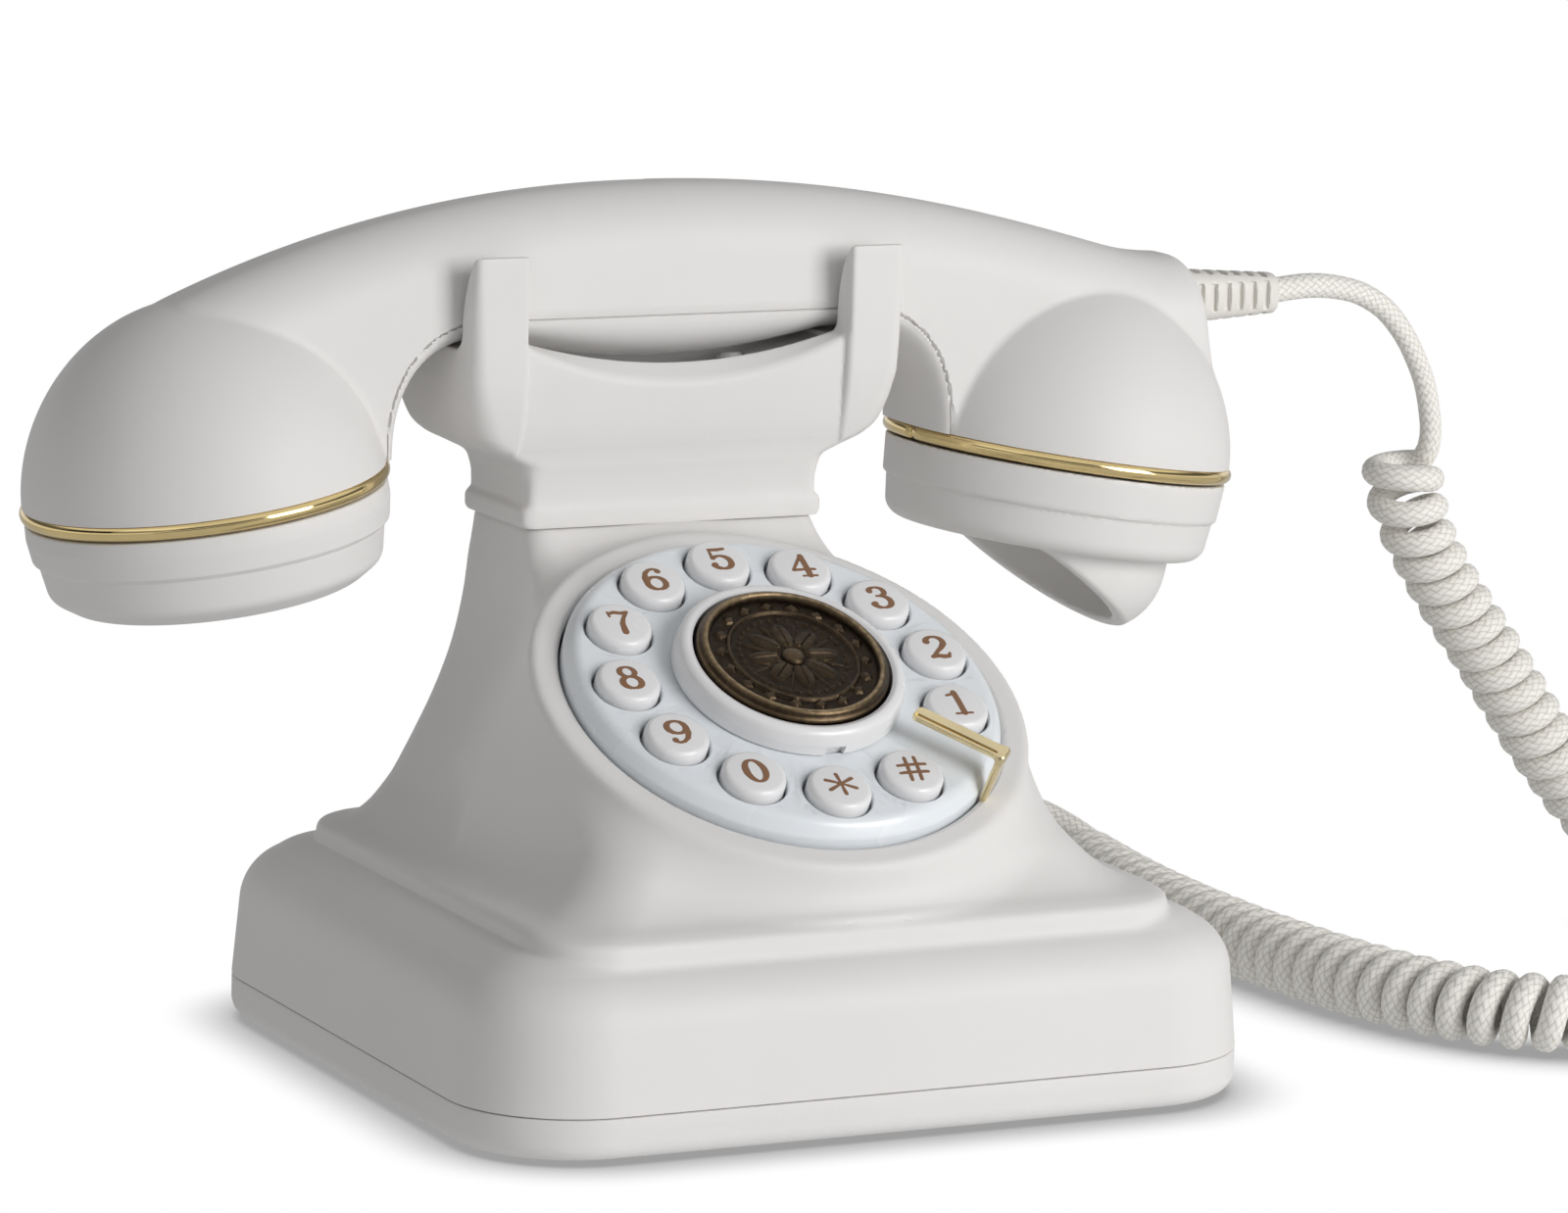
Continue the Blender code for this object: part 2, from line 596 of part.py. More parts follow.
def make_jack(name, centre, mouth, finish):
    """A modular socket whose mouth faces backwards through the body's rear wall."""
    back = BASE_HALF_DEPTH - JACK_FACE_INSET
    half_x, depth, half_z = JACK_SIZE[0] / 2, JACK_SIZE[1], JACK_SIZE[2] / 2
    bm = bmesh.new()
    box(bm, (centre - half_x, back - depth, JACK_Z - half_z), (centre + half_x, back, JACK_Z + half_z))
    jack = add_object(name, bm, finish, smooth=False)
    hole = bmesh.new()
    box(hole, (centre - mouth[0] / 2, back - depth + 0.0020, JACK_Z - mouth[1] / 2),
        (centre + mouth[0] / 2, back + 0.0020, JACK_Z + mouth[1] / 2))
    boolean(jack, add_object("guide_" + name, hole))
    return jack


def make_plug(finish):
    """The handset cord's plug in its socket, with a tapered boot."""
    back = BASE_HALF_DEPTH - JACK_FACE_INSET
    half_x, depth, half_z = PLUG_SIZE[0] / 2, PLUG_SIZE[1], PLUG_SIZE[2] / 2
    end = BOOT_LENGTH + back
    rings = []
    for y, share in ((back - depth, 1.0), (back + 0.0015, 1.0), (back + 0.0020, 0.95), (end, 0.72)):
        ring = rounded_rect(half_x * share, -half_z * share, half_z * share, 0.0010 * share, 0, per_corner=3)
        rings.append([Vector((JACK_X + point.x, y, JACK_Z + point.y)) for point in ring])
    bm = bmesh.new()
    loft(bm, rings)
    return add_object("handset_cord_plug", bm, finish)


# ---------------------------------------------------------------- dial
def make_dial(finish):
    frame = dial_frame()
    r = DIAL_RADIUS
    inner = r - DIAL_SKIRT_WALL
    hole = RING_RADIUS - 0.0015
    bm = bmesh.new()
    lathe(bm, [(hole, -DIAL_SKIN), (inner, -DIAL_SKIN), (inner, -DIAL_SKIRT_DEPTH),
               (r, -DIAL_SKIRT_DEPTH), (r, -0.0034), (r - 0.0006, -0.0020), (r - 0.0017, -0.0004),
               (r - 0.0026, 0), (hole, 0)], SEGMENTS_DIAL)
    plate = add_object("dial_plate", bm, finish["dial"], frame)
    cuts = bmesh.new()
    for index in range(len(KEY_NAMES)):
        rod(cuts, KEY_RADIUS + KEY_GAP, -DIAL_SKIN - 0.0010, 0.0010, key_place(index), SEGMENTS_KEY)
    boolean(plate, add_object("guide_key_holes", cuts, matrix=frame))
    return plate


def make_dial_posts(plate):
    """Three posts under the dial that hold the key mat and its board in place."""
    posts = bmesh.new()
    low = mat_top() + SEAT_GAP
    for index in (0.5, 4.5, 8.5):
        angle = KEY_FIRST_ANGLE + KEY_STEP_ANGLE * index
        place = (0.0355 * math.cos(angle), 0.0355 * math.sin(angle))
        rod(posts, 0.0014, low, -DIAL_SKIN + 0.0006, place, 10)
    boolean(plate, add_object("guide_dial_posts", posts, matrix=dial_frame()), "UNION")


def mat_top():
    """The key mat lies below a fully pressed button."""
    redial_foot = -0.0034 - REDIAL_FLANGE - REDIAL_TRAVEL
    return redial_foot - 0.0006


def make_centre_ring(finish):
    """The raised white ring: a round crest on a sleeve through the dial."""
    outer, rise = RING_RADIUS, RING_RISE
    sleeve = RING_RADIUS - 0.0015 - FIT_GAP
    inner = REDIAL_RADIUS + KEY_GAP
    bm = bmesh.new()
    lathe(bm, [(inner, -0.0030), (sleeve, -0.0030), (sleeve, SEAT_GAP), (outer, SEAT_GAP),
               (outer - 0.0001, 0.0012), (outer - 0.0008, rise - 0.0005), (outer - 0.0016, rise),
               (inner + 0.0006, rise - 0.0005), (inner, rise - 0.0013)], SEGMENTS_BUTTON)
    return add_object("centre_ring", bm, finish, dial_frame())


def make_redial(finish):
    top = REDIAL_RISE
    r = REDIAL_RADIUS
    rim = REDIAL_RIM_RADIUS
    foot = -0.0034
    bm = bmesh.new()
    lathe(bm, [(0, foot - REDIAL_FLANGE), (r + 0.0016, foot - REDIAL_FLANGE), (r + 0.0016, foot), (r, foot),
               (r, 0.0044), (r - 0.0004, 0.0052), (rim, top), (rim - 0.0009, top - 0.0001),
               (rim - 0.0013, top - 0.0009), (0, top - 0.0006)], SEGMENTS_BUTTON)
    return add_object("redial_button", bm, finish, dial_frame())


def make_keys(finish):
    """Twelve buttons that share one mesh: a crown on a flange that stops under the dial."""
    r, top = KEY_RADIUS, KEY_RISE
    flange_top = -DIAL_SKIN - SEAT_GAP
    bm = bmesh.new()
    foot = mat_top() + KEY_TRAVEL + SEAT_GAP
    lathe(bm, [(0, foot), (KEY_STEM_RADIUS, foot), (KEY_STEM_RADIUS, flange_top - KEY_FLANGE),
               (KEY_FLANGE_RADIUS, flange_top - KEY_FLANGE), (KEY_FLANGE_RADIUS, flange_top), (r, flange_top), (r, top - 0.0010),
               (r - 0.0010, top), (0, top + 0.0001)], SEGMENTS_KEY)
    places = [dial_frame() @ Matrix.Translation((*key_place(index), 0)) for index in range(len(KEY_NAMES))]
    copies(add_object("button", bm, finish), "button_", places, KEY_NAMES)


def make_key_stack(finish):
    """The silicone key mat and the board under it."""
    radius = DIAL_RADIUS - DIAL_SKIRT_WALL - KEY_GAP
    top = mat_top()
    bm = bmesh.new()
    rod(bm, radius, top - MAT_THICKNESS, top, segments=24)
    add_object("key_mat", bm, finish["rubber"], dial_frame())
    bm = bmesh.new()
    board = top - MAT_THICKNESS - SEAT_GAP
    rod(bm, radius, board - BOARD_THICKNESS, board, segments=24)
    add_object("key_board", bm, finish["board"], dial_frame())


def stop_frame():
    return dial_frame() @ Matrix.Rotation(STOP_ANGLE, 4, "Z")


def stop_leg_radius():
    """Inner side of the finger stop's leg, just outside the dial."""
    return DIAL_RADIUS + 0.0014


def make_finger_stop(finish):
    """A bent strip: an arm over the dial and a leg whose foot sits in a slot in the bezel."""
    half = STOP_WIDTH / 2
    t = STOP_THICKNESS
    leg = stop_leg_radius()
    top = STOP_HEIGHT
    foot = BEZEL_HEIGHT - STOP_SINK
    outline = [(STOP_REACH, top - t), (leg, top - t), (leg, foot), (leg + t, foot),
               (leg + t, top - 0.0006), (leg + t - 0.0006, top), (STOP_REACH, top)]
    bm = bmesh.new()
    loft(bm, [[Vector((x, side * half, z)) for x, z in outline] for side in (-1, 1)])
    return add_object("finger_stop", bm, finish, stop_frame())


# ---------------------------------------------------------------- cradle
def cradle_sections():
    """Half width, half depth, corner and height, from the neck up to the prongs' tips."""
    w, d = NECK_HALF_WIDTH, NECK_HALF_DEPTH
    low = BODY_TOP_Z + SEAT_GAP
    bead = BEAD_PROUD
    prong = PRONG_TOP_Z - PRONG_ROOT_Z
    return [
        (w, d, NECK_CORNER, low),
        (w + bead, d + bead, NECK_CORNER + bead, low + BEAD_HEIGHT * 0.35),
        (w + bead, d + bead, NECK_CORNER + bead, low + BEAD_HEIGHT * 0.70),
        (w - 0.0004, d - 0.0004, NECK_CORNER, low + BEAD_HEIGHT),
        (w - 0.0004, d - 0.0002, NECK_CORNER, 0.1002),
        (w + 0.0008, d + 0.0006, 0.0045, 0.1025),
        (w + 0.0040, d + 0.0022, 0.0052, 0.1048),
        (w + 0.0092, d + 0.0045, 0.0055, 0.1070),
        (w + 0.0120, d + 0.0057, 0.0050, 0.1100),
        (w + 0.0136, PRONG_FACE - 0.0002, 0.0038, PRONG_ROOT_Z),
        (PRONG_OUTER_X, PRONG_FACE, 0.0028, PRONG_ROOT_Z + 0.20 * prong),
        (PRONG_OUTER_X, PRONG_FACE, 0.0022, PRONG_ROOT_Z + 0.53 * prong),
        (PRONG_OUTER_X - 0.0003, PRONG_FACE, 0.0014, PRONG_TOP_Z),
    ]


def saddle_z(x):
    """Top edge of the walls between the prongs."""
    return SADDLE_LOW_Z + SADDLE_RISE * (x / PRONG_INNER_X) ** 2


def belly_z(x):
    """Underside of the handset between the prongs."""
    return CREASE_Z - SEAT_GAP - BELLY_DROP + BELLY_CURVE * (x / PRONG_INNER_X) ** 2


def trough_z(x):
    """Floor of the trough: the handset's belly rests on its ends, and clears it past them."""
    seat = belly_z(PRONG_INNER_X) - SEAT_GAP
    if abs(x) > PRONG_INNER_X:
        return seat - SEAT_RELIEF
    return TROUGH_LOW_Z + (seat - TROUGH_LOW_Z) * (x / PRONG_INNER_X) ** 2


def make_cradle(white):
    bm = bmesh.new()
    loft(bm, [rounded_rect(half_x, CRADLE_Y - half_y, CRADLE_Y + half_y, corner, z, per_corner=5)
              for half_x, half_y, corner, z in cradle_sections()])
    cradle = add_object("cradle", bm, white)
    high = PRONG_TOP_Z + 0.0060

    trough = bmesh.new()
    rings = []
    for k in range(25):
        x = 0.004 * (k - 12)
        floor = trough_z(x)
        mid, side = TROUGH_HALF_DEPTH, TROUGH_HALF_DEPTH - 0.0040
        foot, top = floor + 0.0035, PRONG_TOP_Z + 0.0002
        right = [(side, floor), (mid, foot)]
        right += [(mid + out, foot + share * (top - foot))
                  for out, share in ((0, 0.16), (0.0006, 0.44), (0.0022, 0.73), (TROUGH_FLARE, 1))]
        right.append((mid + TROUGH_FLARE, high))
        outline = right + [(-y, z) for y, z in reversed(right)]
        rings.append([Vector((x, CRADLE_Y + y, z)) for y, z in outline])
    loft(trough, rings)
    boolean(cradle, add_object("guide_trough", trough))

    gap = bmesh.new()
    depth = PRONG_FACE + 0.0050
    rings = []
    for k in range(9):
        x = PRONG_INNER_X * (k / 4 - 1)
        rings.append([Vector((x, CRADLE_Y + y, z)) for y, z in
                      ((-depth, saddle_z(x)), (depth, saddle_z(x)), (depth, high), (-depth, high))])
    loft(gap, rings)
    boolean(cradle, add_object("guide_gap", gap))

    recess = bmesh.new()
    for side in (-1, 1):
        face = PRONG_FACE - WALL_RECESS
        outline = [(face, high), (face, RECESS_FULL_Z), (PRONG_FACE + 0.0020, RECESS_FOOT_Z),
                   (depth, RECESS_FOOT_Z), (depth, high)]
        loft(recess, [[Vector((x, CRADLE_Y + side * y, z)) for y, z in outline]
                      for x in (-PRONG_INNER_X, PRONG_INNER_X)])
    boolean(cradle, add_object("guide_recess", recess))

    shaft = bmesh.new()
    half_x = YOKE_SIZE[0] / 2 + 0.0010
    half_y = YOKE_SIZE[1] / 2 + 0.0010
    box(shaft, (-half_x, CRADLE_Y - half_y, BODY_TOP_Z - 0.0010),
        (half_x, CRADLE_Y + half_y, YOKE_Z + YOKE_SIZE[2] + HOOK_TRAVEL + 0.0010))
    boolean(cradle, add_object("guide_shaft", shaft), solver="MANIFOLD")
    bores = bmesh.new()
    for side in (-1, 1):
        rod(bores, PLUNGER_RADIUS + FIT_GAP, YOKE_Z + 0.0010, high, (side * PLUNGER_X, CRADLE_Y))
    boolean(cradle, add_object("guide_plunger_bores", bores), solver="MANIFOLD")
    return cradle


def make_hook(finish):
    """The yoke with its two plungers, the return spring and the switch below."""
    bm = bmesh.new()
    x, y, z = YOKE_SIZE
    box(bm, (-x / 2, CRADLE_Y - y / 2, YOKE_Z), (x / 2, CRADLE_Y + y / 2, YOKE_Z + z))
    yoke = add_object("hook_plunger", bm, finish["white"], smooth=False)
    pins = bmesh.new()
    top = belly_z(PLUNGER_X - PLUNGER_RADIUS) - SEAT_GAP
    for side in (-1, 1):
        lathe(pins, [(0, YOKE_Z + z - 0.0010), (PLUNGER_RADIUS, YOKE_Z + z - 0.0010),
                     (PLUNGER_RADIUS, top - 0.0006), (PLUNGER_RADIUS - 0.0006, top), (0, top)], 16,
              Matrix.Translation((side * PLUNGER_X, CRADLE_Y, 0)))
    rod(pins, STEM_RADIUS, switch_top() + SEAT_GAP, YOKE_Z + 0.0010, (0, CRADLE_Y))
    boolean(yoke, add_object("guide_pins", pins), "UNION")

    half_x, half_y, height = (size / 2 for size in SWITCH_SIZE)
    bm = bmesh.new()
    box(bm, (-half_x, CRADLE_Y - half_y, switch_top() - 2 * height), (half_x, CRADLE_Y + half_y, switch_top()))
    switch = add_object("hook_switch", bm, finish["dark"], smooth=False)
    plate = bmesh.new()
    reach_x = SWITCH_POST_X + SWITCH_POST_RADIUS + 0.0010
    reach_y = NECK_HALF_DEPTH - WALL - FIT_GAP
    top = switch_plate_z()
    box(plate, (-reach_x, CRADLE_Y - reach_y, top - BOARD_THICKNESS), (reach_x, CRADLE_Y + reach_y, top))
    boolean(switch, add_object("guide_switch_plate", plate), "UNION")
    spring = []
    low, high = switch_top() + SEAT_GAP + SPRING_WIRE, YOKE_Z - SEAT_GAP - SPRING_WIRE
    count = SPRING_TURNS * 10
    for k in range(count + 1):
        angle = 2 * math.pi * SPRING_TURNS * k / count
        spring.append((SPRING_RADIUS * math.cos(angle), CRADLE_Y + SPRING_RADIUS * math.sin(angle),
                       low + (high - low) * k / count))
    tube("hook_spring", spring, SPRING_WIRE, finish["steel"], 0)


def switch_top():
    """Upper side of the switch, a little below the hook stem at its lowest."""
    return BODY_TOP_Z - SWITCH_DEPTH


def switch_plate_z():
    """Upper side of the plate that holds the switch under the body's top."""
    return switch_top() - SWITCH_PLATE_DROP


def switch_posts():
    return [(sx * SWITCH_POST_X, CRADLE_Y + sy * SWITCH_POST_Y) for sx in (-1, 1) for sy in (-1, 1)]


# ---------------------------------------------------------------- handset
def handle_top(x):
    """The handle's back: an arch that levels out over the mouthpiece."""
    if x < 0:
        return HANDLE_TOP_Z - 0.0184 * (abs(x) / 0.0914) ** 2.15
    arch = HANDLE_TOP_Z - 0.0172 * (x / 0.0998) ** 2.0
    flat = END_TOP_Z
    blend = 0.0022
    return 0.5 * (arch + flat + math.sqrt((arch - flat) ** 2 + blend ** 2))


def ring_plane_z(x):
    """Height of a cup's ring plane at a distance x from the middle."""
    return CUP_Z - math.tan(CUP_TILT) * (x - CUP_X)


def crease_z(x):
    """Lower edge of the upper shell: straight between the prongs, bent down into the cups."""
    x = abs(x)
    bend_x, bend_z = CREASE_BEND
    start = CREASE_HALF_SPAN - bend_x
    if x <= start:
        return CREASE_Z
    share = min((x - start) / bend_x, 1.0)
    return CREASE_Z - bend_z * (1 - (1 - share ** 2.3) ** (1 / 2.3))


def handle_ring(x, inset, drop, per_corner, end_inset=0.0, end_drop=0.0):
    """An inverted U across the handle at x."""
    half = HANDLE_HALF_DEPTH - inset - end_inset
    top = handle_top(x) - inset - end_drop
    low = max(crease_z(x), ring_plane_z(abs(x))) - drop
    corner = max(HANDLE_CORNER - inset, 0.0015)
    arc = [math.pi / 2 * k / (per_corner - 1) for k in range(per_corner)]
    across = [(half - corner * (1 - math.cos(angle)), top - corner * (1 - math.sin(angle))) for angle in arc]
    across = [(half, low)] + across + [(-y, z) for y, z in reversed(across)] + [(-half, low)]
    return [Vector((x, CRADLE_Y + y, z)) for y, z in across]


def handle_stations():
    left = [-0.0905, -0.0840, -0.0760, -0.0680, -0.0610]
    bend = [-0.0564, -0.0558, -0.0540, -0.0506, -0.0450]
    middle = [-0.0350, -0.0230, -0.0115, 0.0, 0.0115, 0.0230, 0.0350]
    right = [-x for x in reversed(bend)] + [0.0620, 0.0700, 0.0790, 0.0880, 0.0970, 0.1030]
    return left + bend + middle + right


def handle_form(inset, drop, per_corner):
    """The handle as a loft along X, with a rounded block at the mouthpiece end."""
    rings = [handle_ring(HANDLE_LEFT_X + inset, inset, drop, per_corner, 0.0030, 0.0022)]
    rings += [handle_ring(x, inset, drop, per_corner) for x in handle_stations()]
    flare = 0.0054
    for ahead, narrow, lower in ((0.0036, 0.0006, 0.0004), (0.0012, 0.0020, 0.0016), (0.0, 0.0046, 0.0042)):
        ring = handle_ring(END_X - ahead - inset, inset, drop, per_corner, narrow, lower)
        low, high = ring[0].z, ring[per_corner].z
        for point in ring:
            point.x += flare * (high - point.z) / (high - low)
        rings.append(ring)
    bm = bmesh.new()
    loft(bm, rings)
    return bm


def dome_profile(inset, low):
    """Half an ellipse over the gold ring."""
    radius, height = CUP_RADIUS - inset, CUP_HEIGHT - inset
    points = [(0, low)]
    for k in range(DOME_STEPS + 1):
        angle = math.radians(90 * k / DOME_STEPS)
        r, h = radius * math.cos(angle), height * math.sin(angle)
        points.append((0 if k == DOME_STEPS else r, h if k else low))
    return points


def belly_stations():
    """Places along the crease, with the direction in which the lower shell bulges."""
    half, flat = CREASE_HALF_SPAN, CREASE_HALF_SPAN - CREASE_BEND[0]
    side = [(half, ring_plane_z(half)), (half, CREASE_Z - CREASE_BEND[1])]
    for k in range(1, 7):
        angle = math.radians(90 * k / 7)
        share = math.cos(angle) ** (2 / 2.3)
        x = flat + CREASE_BEND[0] * share
        side.append((x, crease_z(x)))
    side += [(flat, CREASE_Z), (0.0240, CREASE_Z), (0.0120, CREASE_Z)]
    return [(-x, z) for x, z in side] + [(0.0, CREASE_Z)] + list(reversed(side))


def belly_ring(index, places, inset):
    """A half ellipse across the handset, from the crease inwards."""
    x, z = places[index]
    before = places[max(index - 1, 0)]
    after = places[min(index + 1, len(places) - 1)]
    along = Vector((after[0] - before[0], 0, after[1] - before[1])).normalized()
    inward = Vector((along.z, 0, -along.x))
    share = min(abs(x) / PRONG_INNER_X, 1.0) ** 2
    if abs(x) <= PRONG_INNER_X + 0.0050:
        depth = BELLY_DROP - BELLY_CURVE * share
    else:
        run = (CREASE_Z - z) / (CREASE_Z - CUP_Z)
        depth = BELLY_DROP - BELLY_CURVE + (BELLY_END - BELLY_DROP + BELLY_CURVE) * min(run, 1.0)
    half = HANDLE_HALF_DEPTH - 0.0009 - inset
    depth -= inset
    start = Vector((x, CRADLE_Y, z)) + inward * SEAT_GAP
    points = []
    for k in range(8):
        angle = math.pi * k / 7
        points.append(start + Vector((0, half * math.cos(angle), 0)) + inward * depth * math.sin(angle))
    return points


def make_lower_shell(white):
    """The belly: a curved strip with a wall, open towards the handle's inside."""
    places = belly_stations()
    bm = bmesh.new()
    rings = []
    for index in range(len(places)):
        outer = belly_ring(index, places, 0)
        inner = belly_ring(index, places, BELLY_WALL)
        rings.append(outer + list(reversed(inner)))
    loft(bm, rings)
    shell = add_object("handset_lower_shell", bm, white)
    trim_below_rings(shell)
    return shell


def trim_below_rings(shell):
    """Cuts off what reaches below the seats of the two gold rings."""
    for side in (-1, 1):
        bm = bmesh.new()
        box(bm, (-0.0500, -0.0420, -0.0200), (0.0500, 0.0420, GOLD_RING_WIRE + SEAT_GAP))
        boolean(shell, add_object("guide_trim", bm, matrix=cup_frame(side)), solver="MANIFOLD")


def make_upper_shell(white):
    """Handle and two cups, hollow and open below."""
    shell = add_object("handset_upper_shell", handle_form(0, 0.0060, 5), white)
    for side in (-1, 1):
        dome = bmesh.new()
        lathe(dome, dome_profile(0, -0.0030), SEGMENTS_CUP)
        boolean(shell, add_object("guide_dome", dome, matrix=cup_frame(side)), "UNION", "MANIFOLD")
    boolean(shell, add_object("guide_handle_hollow", handle_form(HANDLE_WALL, 0.0090, 3)), solver="MANIFOLD")
    half_segment = Matrix.Rotation(math.pi / SEGMENTS_CUP, 4, "Z")
    for side in (-1, 1):
        dome = bmesh.new()
        lathe(dome, dome_profile(HANDLE_WALL, -0.0130), SEGMENTS_HOLLOW)
        matrix = cup_frame(side) @ half_segment
        boolean(shell, add_object("guide_dome_hollow", dome, matrix=matrix), solver="MANIFOLD")
    under = bmesh.new()
    outline = belly_stations()
    end_x = outline[-1][0]
    outline += [(end_x, 0.0900), (-end_x, 0.0900)]
    loft(under, [[Vector((x, CRADLE_Y + side * (HANDLE_HALF_DEPTH + 0.0008), z)) for x, z in outline]
                 for side in (-1, 1)])
    boolean(shell, add_object("guide_underside", under), solver="MANIFOLD")
    trim_below_rings(shell)
    bore = bmesh.new()
    rod(bore, RELIEF_RADII[0] + FIT_GAP, -0.0120, 0.0120)
    matrix = Matrix.Translation((END_X, CRADLE_Y, RELIEF_Z)) @ Matrix.Rotation(math.pi / 2, 4, "Y")
    boolean(shell, add_object("guide_relief_bore", bore, matrix=matrix), solver="MANIFOLD")
    return shell


def make_gold_ring(name, side, finish):
    bm = bmesh.new()
    profile = []
    for k in range(6):
        angle = math.radians(60 * k)
        profile.append((GOLD_RING_RADIUS + GOLD_RING_WIRE * math.cos(angle), GOLD_RING_WIRE * math.sin(angle)))
    lathe(bm, profile, SEGMENTS_CUP)
    return add_object(name, bm, finish, cup_frame(side))


def cap_profile(depth, radius):
    """Outer wall with its step, rounded face, inner floor and the spigot inside the cup."""
    top = -GOLD_RING_WIRE - SEAT_GAP
    inner = radius - CAP_STEP - CAP_WALL
    spigot = min(CUP_RADIUS - HANDLE_WALL, GOLD_RING_RADIUS - GOLD_RING_WIRE) - SPIGOT_GAP
    floor = -depth + CAP_WALL
    return [(0, -depth), (radius - 0.0070, -depth + 0.0004), (radius - 0.0040, -depth + 0.0014),
            (radius - CAP_STEP - 0.0006, -depth + 0.0040), (radius - CAP_STEP, -depth + 0.0060),
            (radius - CAP_STEP + 0.0002, -CAP_STEP_DEPTH - 0.0008), (radius - 0.0002, -CAP_STEP_DEPTH),
            (radius + 0.0002, -0.0050), (radius - 0.0001, top), (spigot, top), (spigot, SPIGOT_HEIGHT),
            (spigot - 0.0016, SPIGOT_HEIGHT), (inner, top - 0.0010), (inner, floor), (0, floor)]


def make_ear_cap(white):
    bm = bmesh.new()
    lathe(bm, cap_profile(EAR_CAP_DEPTH, CAP_RADIUS), SEGMENTS_CUP)
    cap = add_object("ear_cap", bm, white, cup_frame(-1))
    holes = bmesh.new()
    rod(holes, 0.0011, -EAR_CAP_DEPTH - 0.0010, -EAR_CAP_DEPTH + CAP_WALL + 0.0010, segments=6)
    for k in range(6):
        angle = math.radians(60 * k)
        place = (0.0085 * math.cos(angle), 0.0085 * math.sin(angle))
        rod(holes, 0.0011, -EAR_CAP_DEPTH - 0.0010, -EAR_CAP_DEPTH + CAP_WALL + 0.0010, place, 6)
    boolean(cap, add_object("guide_sound_holes", holes, matrix=cup_frame(-1)))
    return cap


def scoop_profile(inset, low):
    """The hood's rounded outside, from the cap's face down."""
    radius, depth = SCOOP_RADIUS - inset, SCOOP_DEPTH - inset
    face = -MOUTH_CAP_DEPTH
    points = [(0, face + low), (radius, face + low), (radius, face), (radius - 0.0008, face - depth * 0.30),
              (radius - 0.0024, face - depth * 0.55), (radius - 0.0048, face - depth * 0.78),
              (radius - 0.0090, face - depth * 0.94), (0, face - depth)]
    return points


def make_mouth_cap(white):
    """The mouthpiece cap with its hood, which opens towards the earpiece."""
    frame = cup_frame(1)
    bm = bmesh.new()
    lathe(bm, cap_profile(MOUTH_CAP_DEPTH, CAP_RADIUS - 0.0004), SEGMENTS_CUP)
    cap = add_object("mouth_cap", bm, white, frame)
    hood = bmesh.new()
    lathe(hood, scoop_profile(0, 0.0010), 28)
    hood = add_object("guide_hood", hood, matrix=frame)
    inside = bmesh.new()
    lathe(inside, scoop_profile(SCOOP_WALL, -0.0004), 28)
    boolean(hood, add_object("guide_hood_inside", inside, matrix=frame), solver="MANIFOLD")
    mouth = bmesh.new()
    box(mouth, (-0.0600, -0.0400, -0.0400), (0.0600, 0.0400, 0))
    slope = (Matrix.Translation((SCOOP_START, 0, -MOUTH_CAP_DEPTH + 0.0003))
             @ Matrix.Rotation(SCOOP_SLOPE, 4, "Y"))
    boolean(hood, add_object("guide_hood_mouth", mouth, matrix=frame @ slope),
            solver="MANIFOLD")
    boolean(cap, hood, "UNION")
    hole = bmesh.new()
    for k in range(3):
        rod(hole, 0.0010, -MOUTH_CAP_DEPTH - 0.0010, -MOUTH_CAP_DEPTH + CAP_WALL + 0.0010,
            (0, 0.0030 * (k - 1)), 6)
    boolean(cap, add_object("guide_voice_holes", hole, matrix=frame))
    return cap


def make_handset_internals(finish):
    bm = bmesh.new()
    low = -EAR_CAP_DEPTH + CAP_WALL + SEAT_GAP
    lathe(bm, [(0, low), (0.0240, low), (0.0250, low + 0.0010), (0.0250, low + 0.0040), (0.0150, low + 0.0085),
               (0.0130, low + 0.0120), (0, low + 0.0120)], 20)
    add_object("receiver_capsule", bm, finish["dark"], cup_frame(-1))

    bm = bmesh.new()
    low = -MOUTH_CAP_DEPTH + CAP_WALL + SEAT_GAP
    lathe(bm, [(0.0052, low), (0.0080, low), (0.0080, low + 0.0070), (0.0052, low + 0.0070)], 24)
    add_object("microphone_grommet", bm, finish["rubber"], cup_frame(1))

    bm = bmesh.new()
    rod(bm, 0.0052 - SEAT_GAP, low, low + 0.0060, segments=20)
    add_object("microphone_capsule", bm, finish["steel"], cup_frame(1))

    bm = bmesh.new()
    half = 0.0240
    top = handle_top(half) - HANDLE_WALL - SEAT_GAP
    box(bm, (-half, CRADLE_Y - 0.0060, top - 0.0080), (half, CRADLE_Y + 0.0060, top))
    add_object("handset_weight", bm, finish["steel"], smooth=False)


def make_strain_relief(finish):
    """A ribbed, tapered sleeve that leaves the handset along X."""
    first, last = RELIEF_RADII
    profile = [(0, -0.0060), (first, -0.0060), (first, 0.0010)]
    rib = (RELIEF_LENGTH - 0.0040) / RELIEF_RIBS
    for k in range(RELIEF_RIBS):
        start = 0.0015 + rib * k
        radius = first + (last - first) * k / (RELIEF_RIBS - 1)
        profile += [(radius - 0.0011, start), (radius - 0.0011, start + rib * 0.35),
                    (radius, start + rib * 0.40), (radius, start + rib * 0.95)]
    profile += [(last - 0.0002, RELIEF_LENGTH), (0, RELIEF_LENGTH)]
    bm = bmesh.new()
    lathe(bm, profile, 8)
    matrix = Matrix.Translation((END_X, CRADLE_Y, RELIEF_Z)) @ Matrix.Rotation(math.pi / 2, 4, "Y")
    return add_object("strain_relief", bm, finish, matrix)


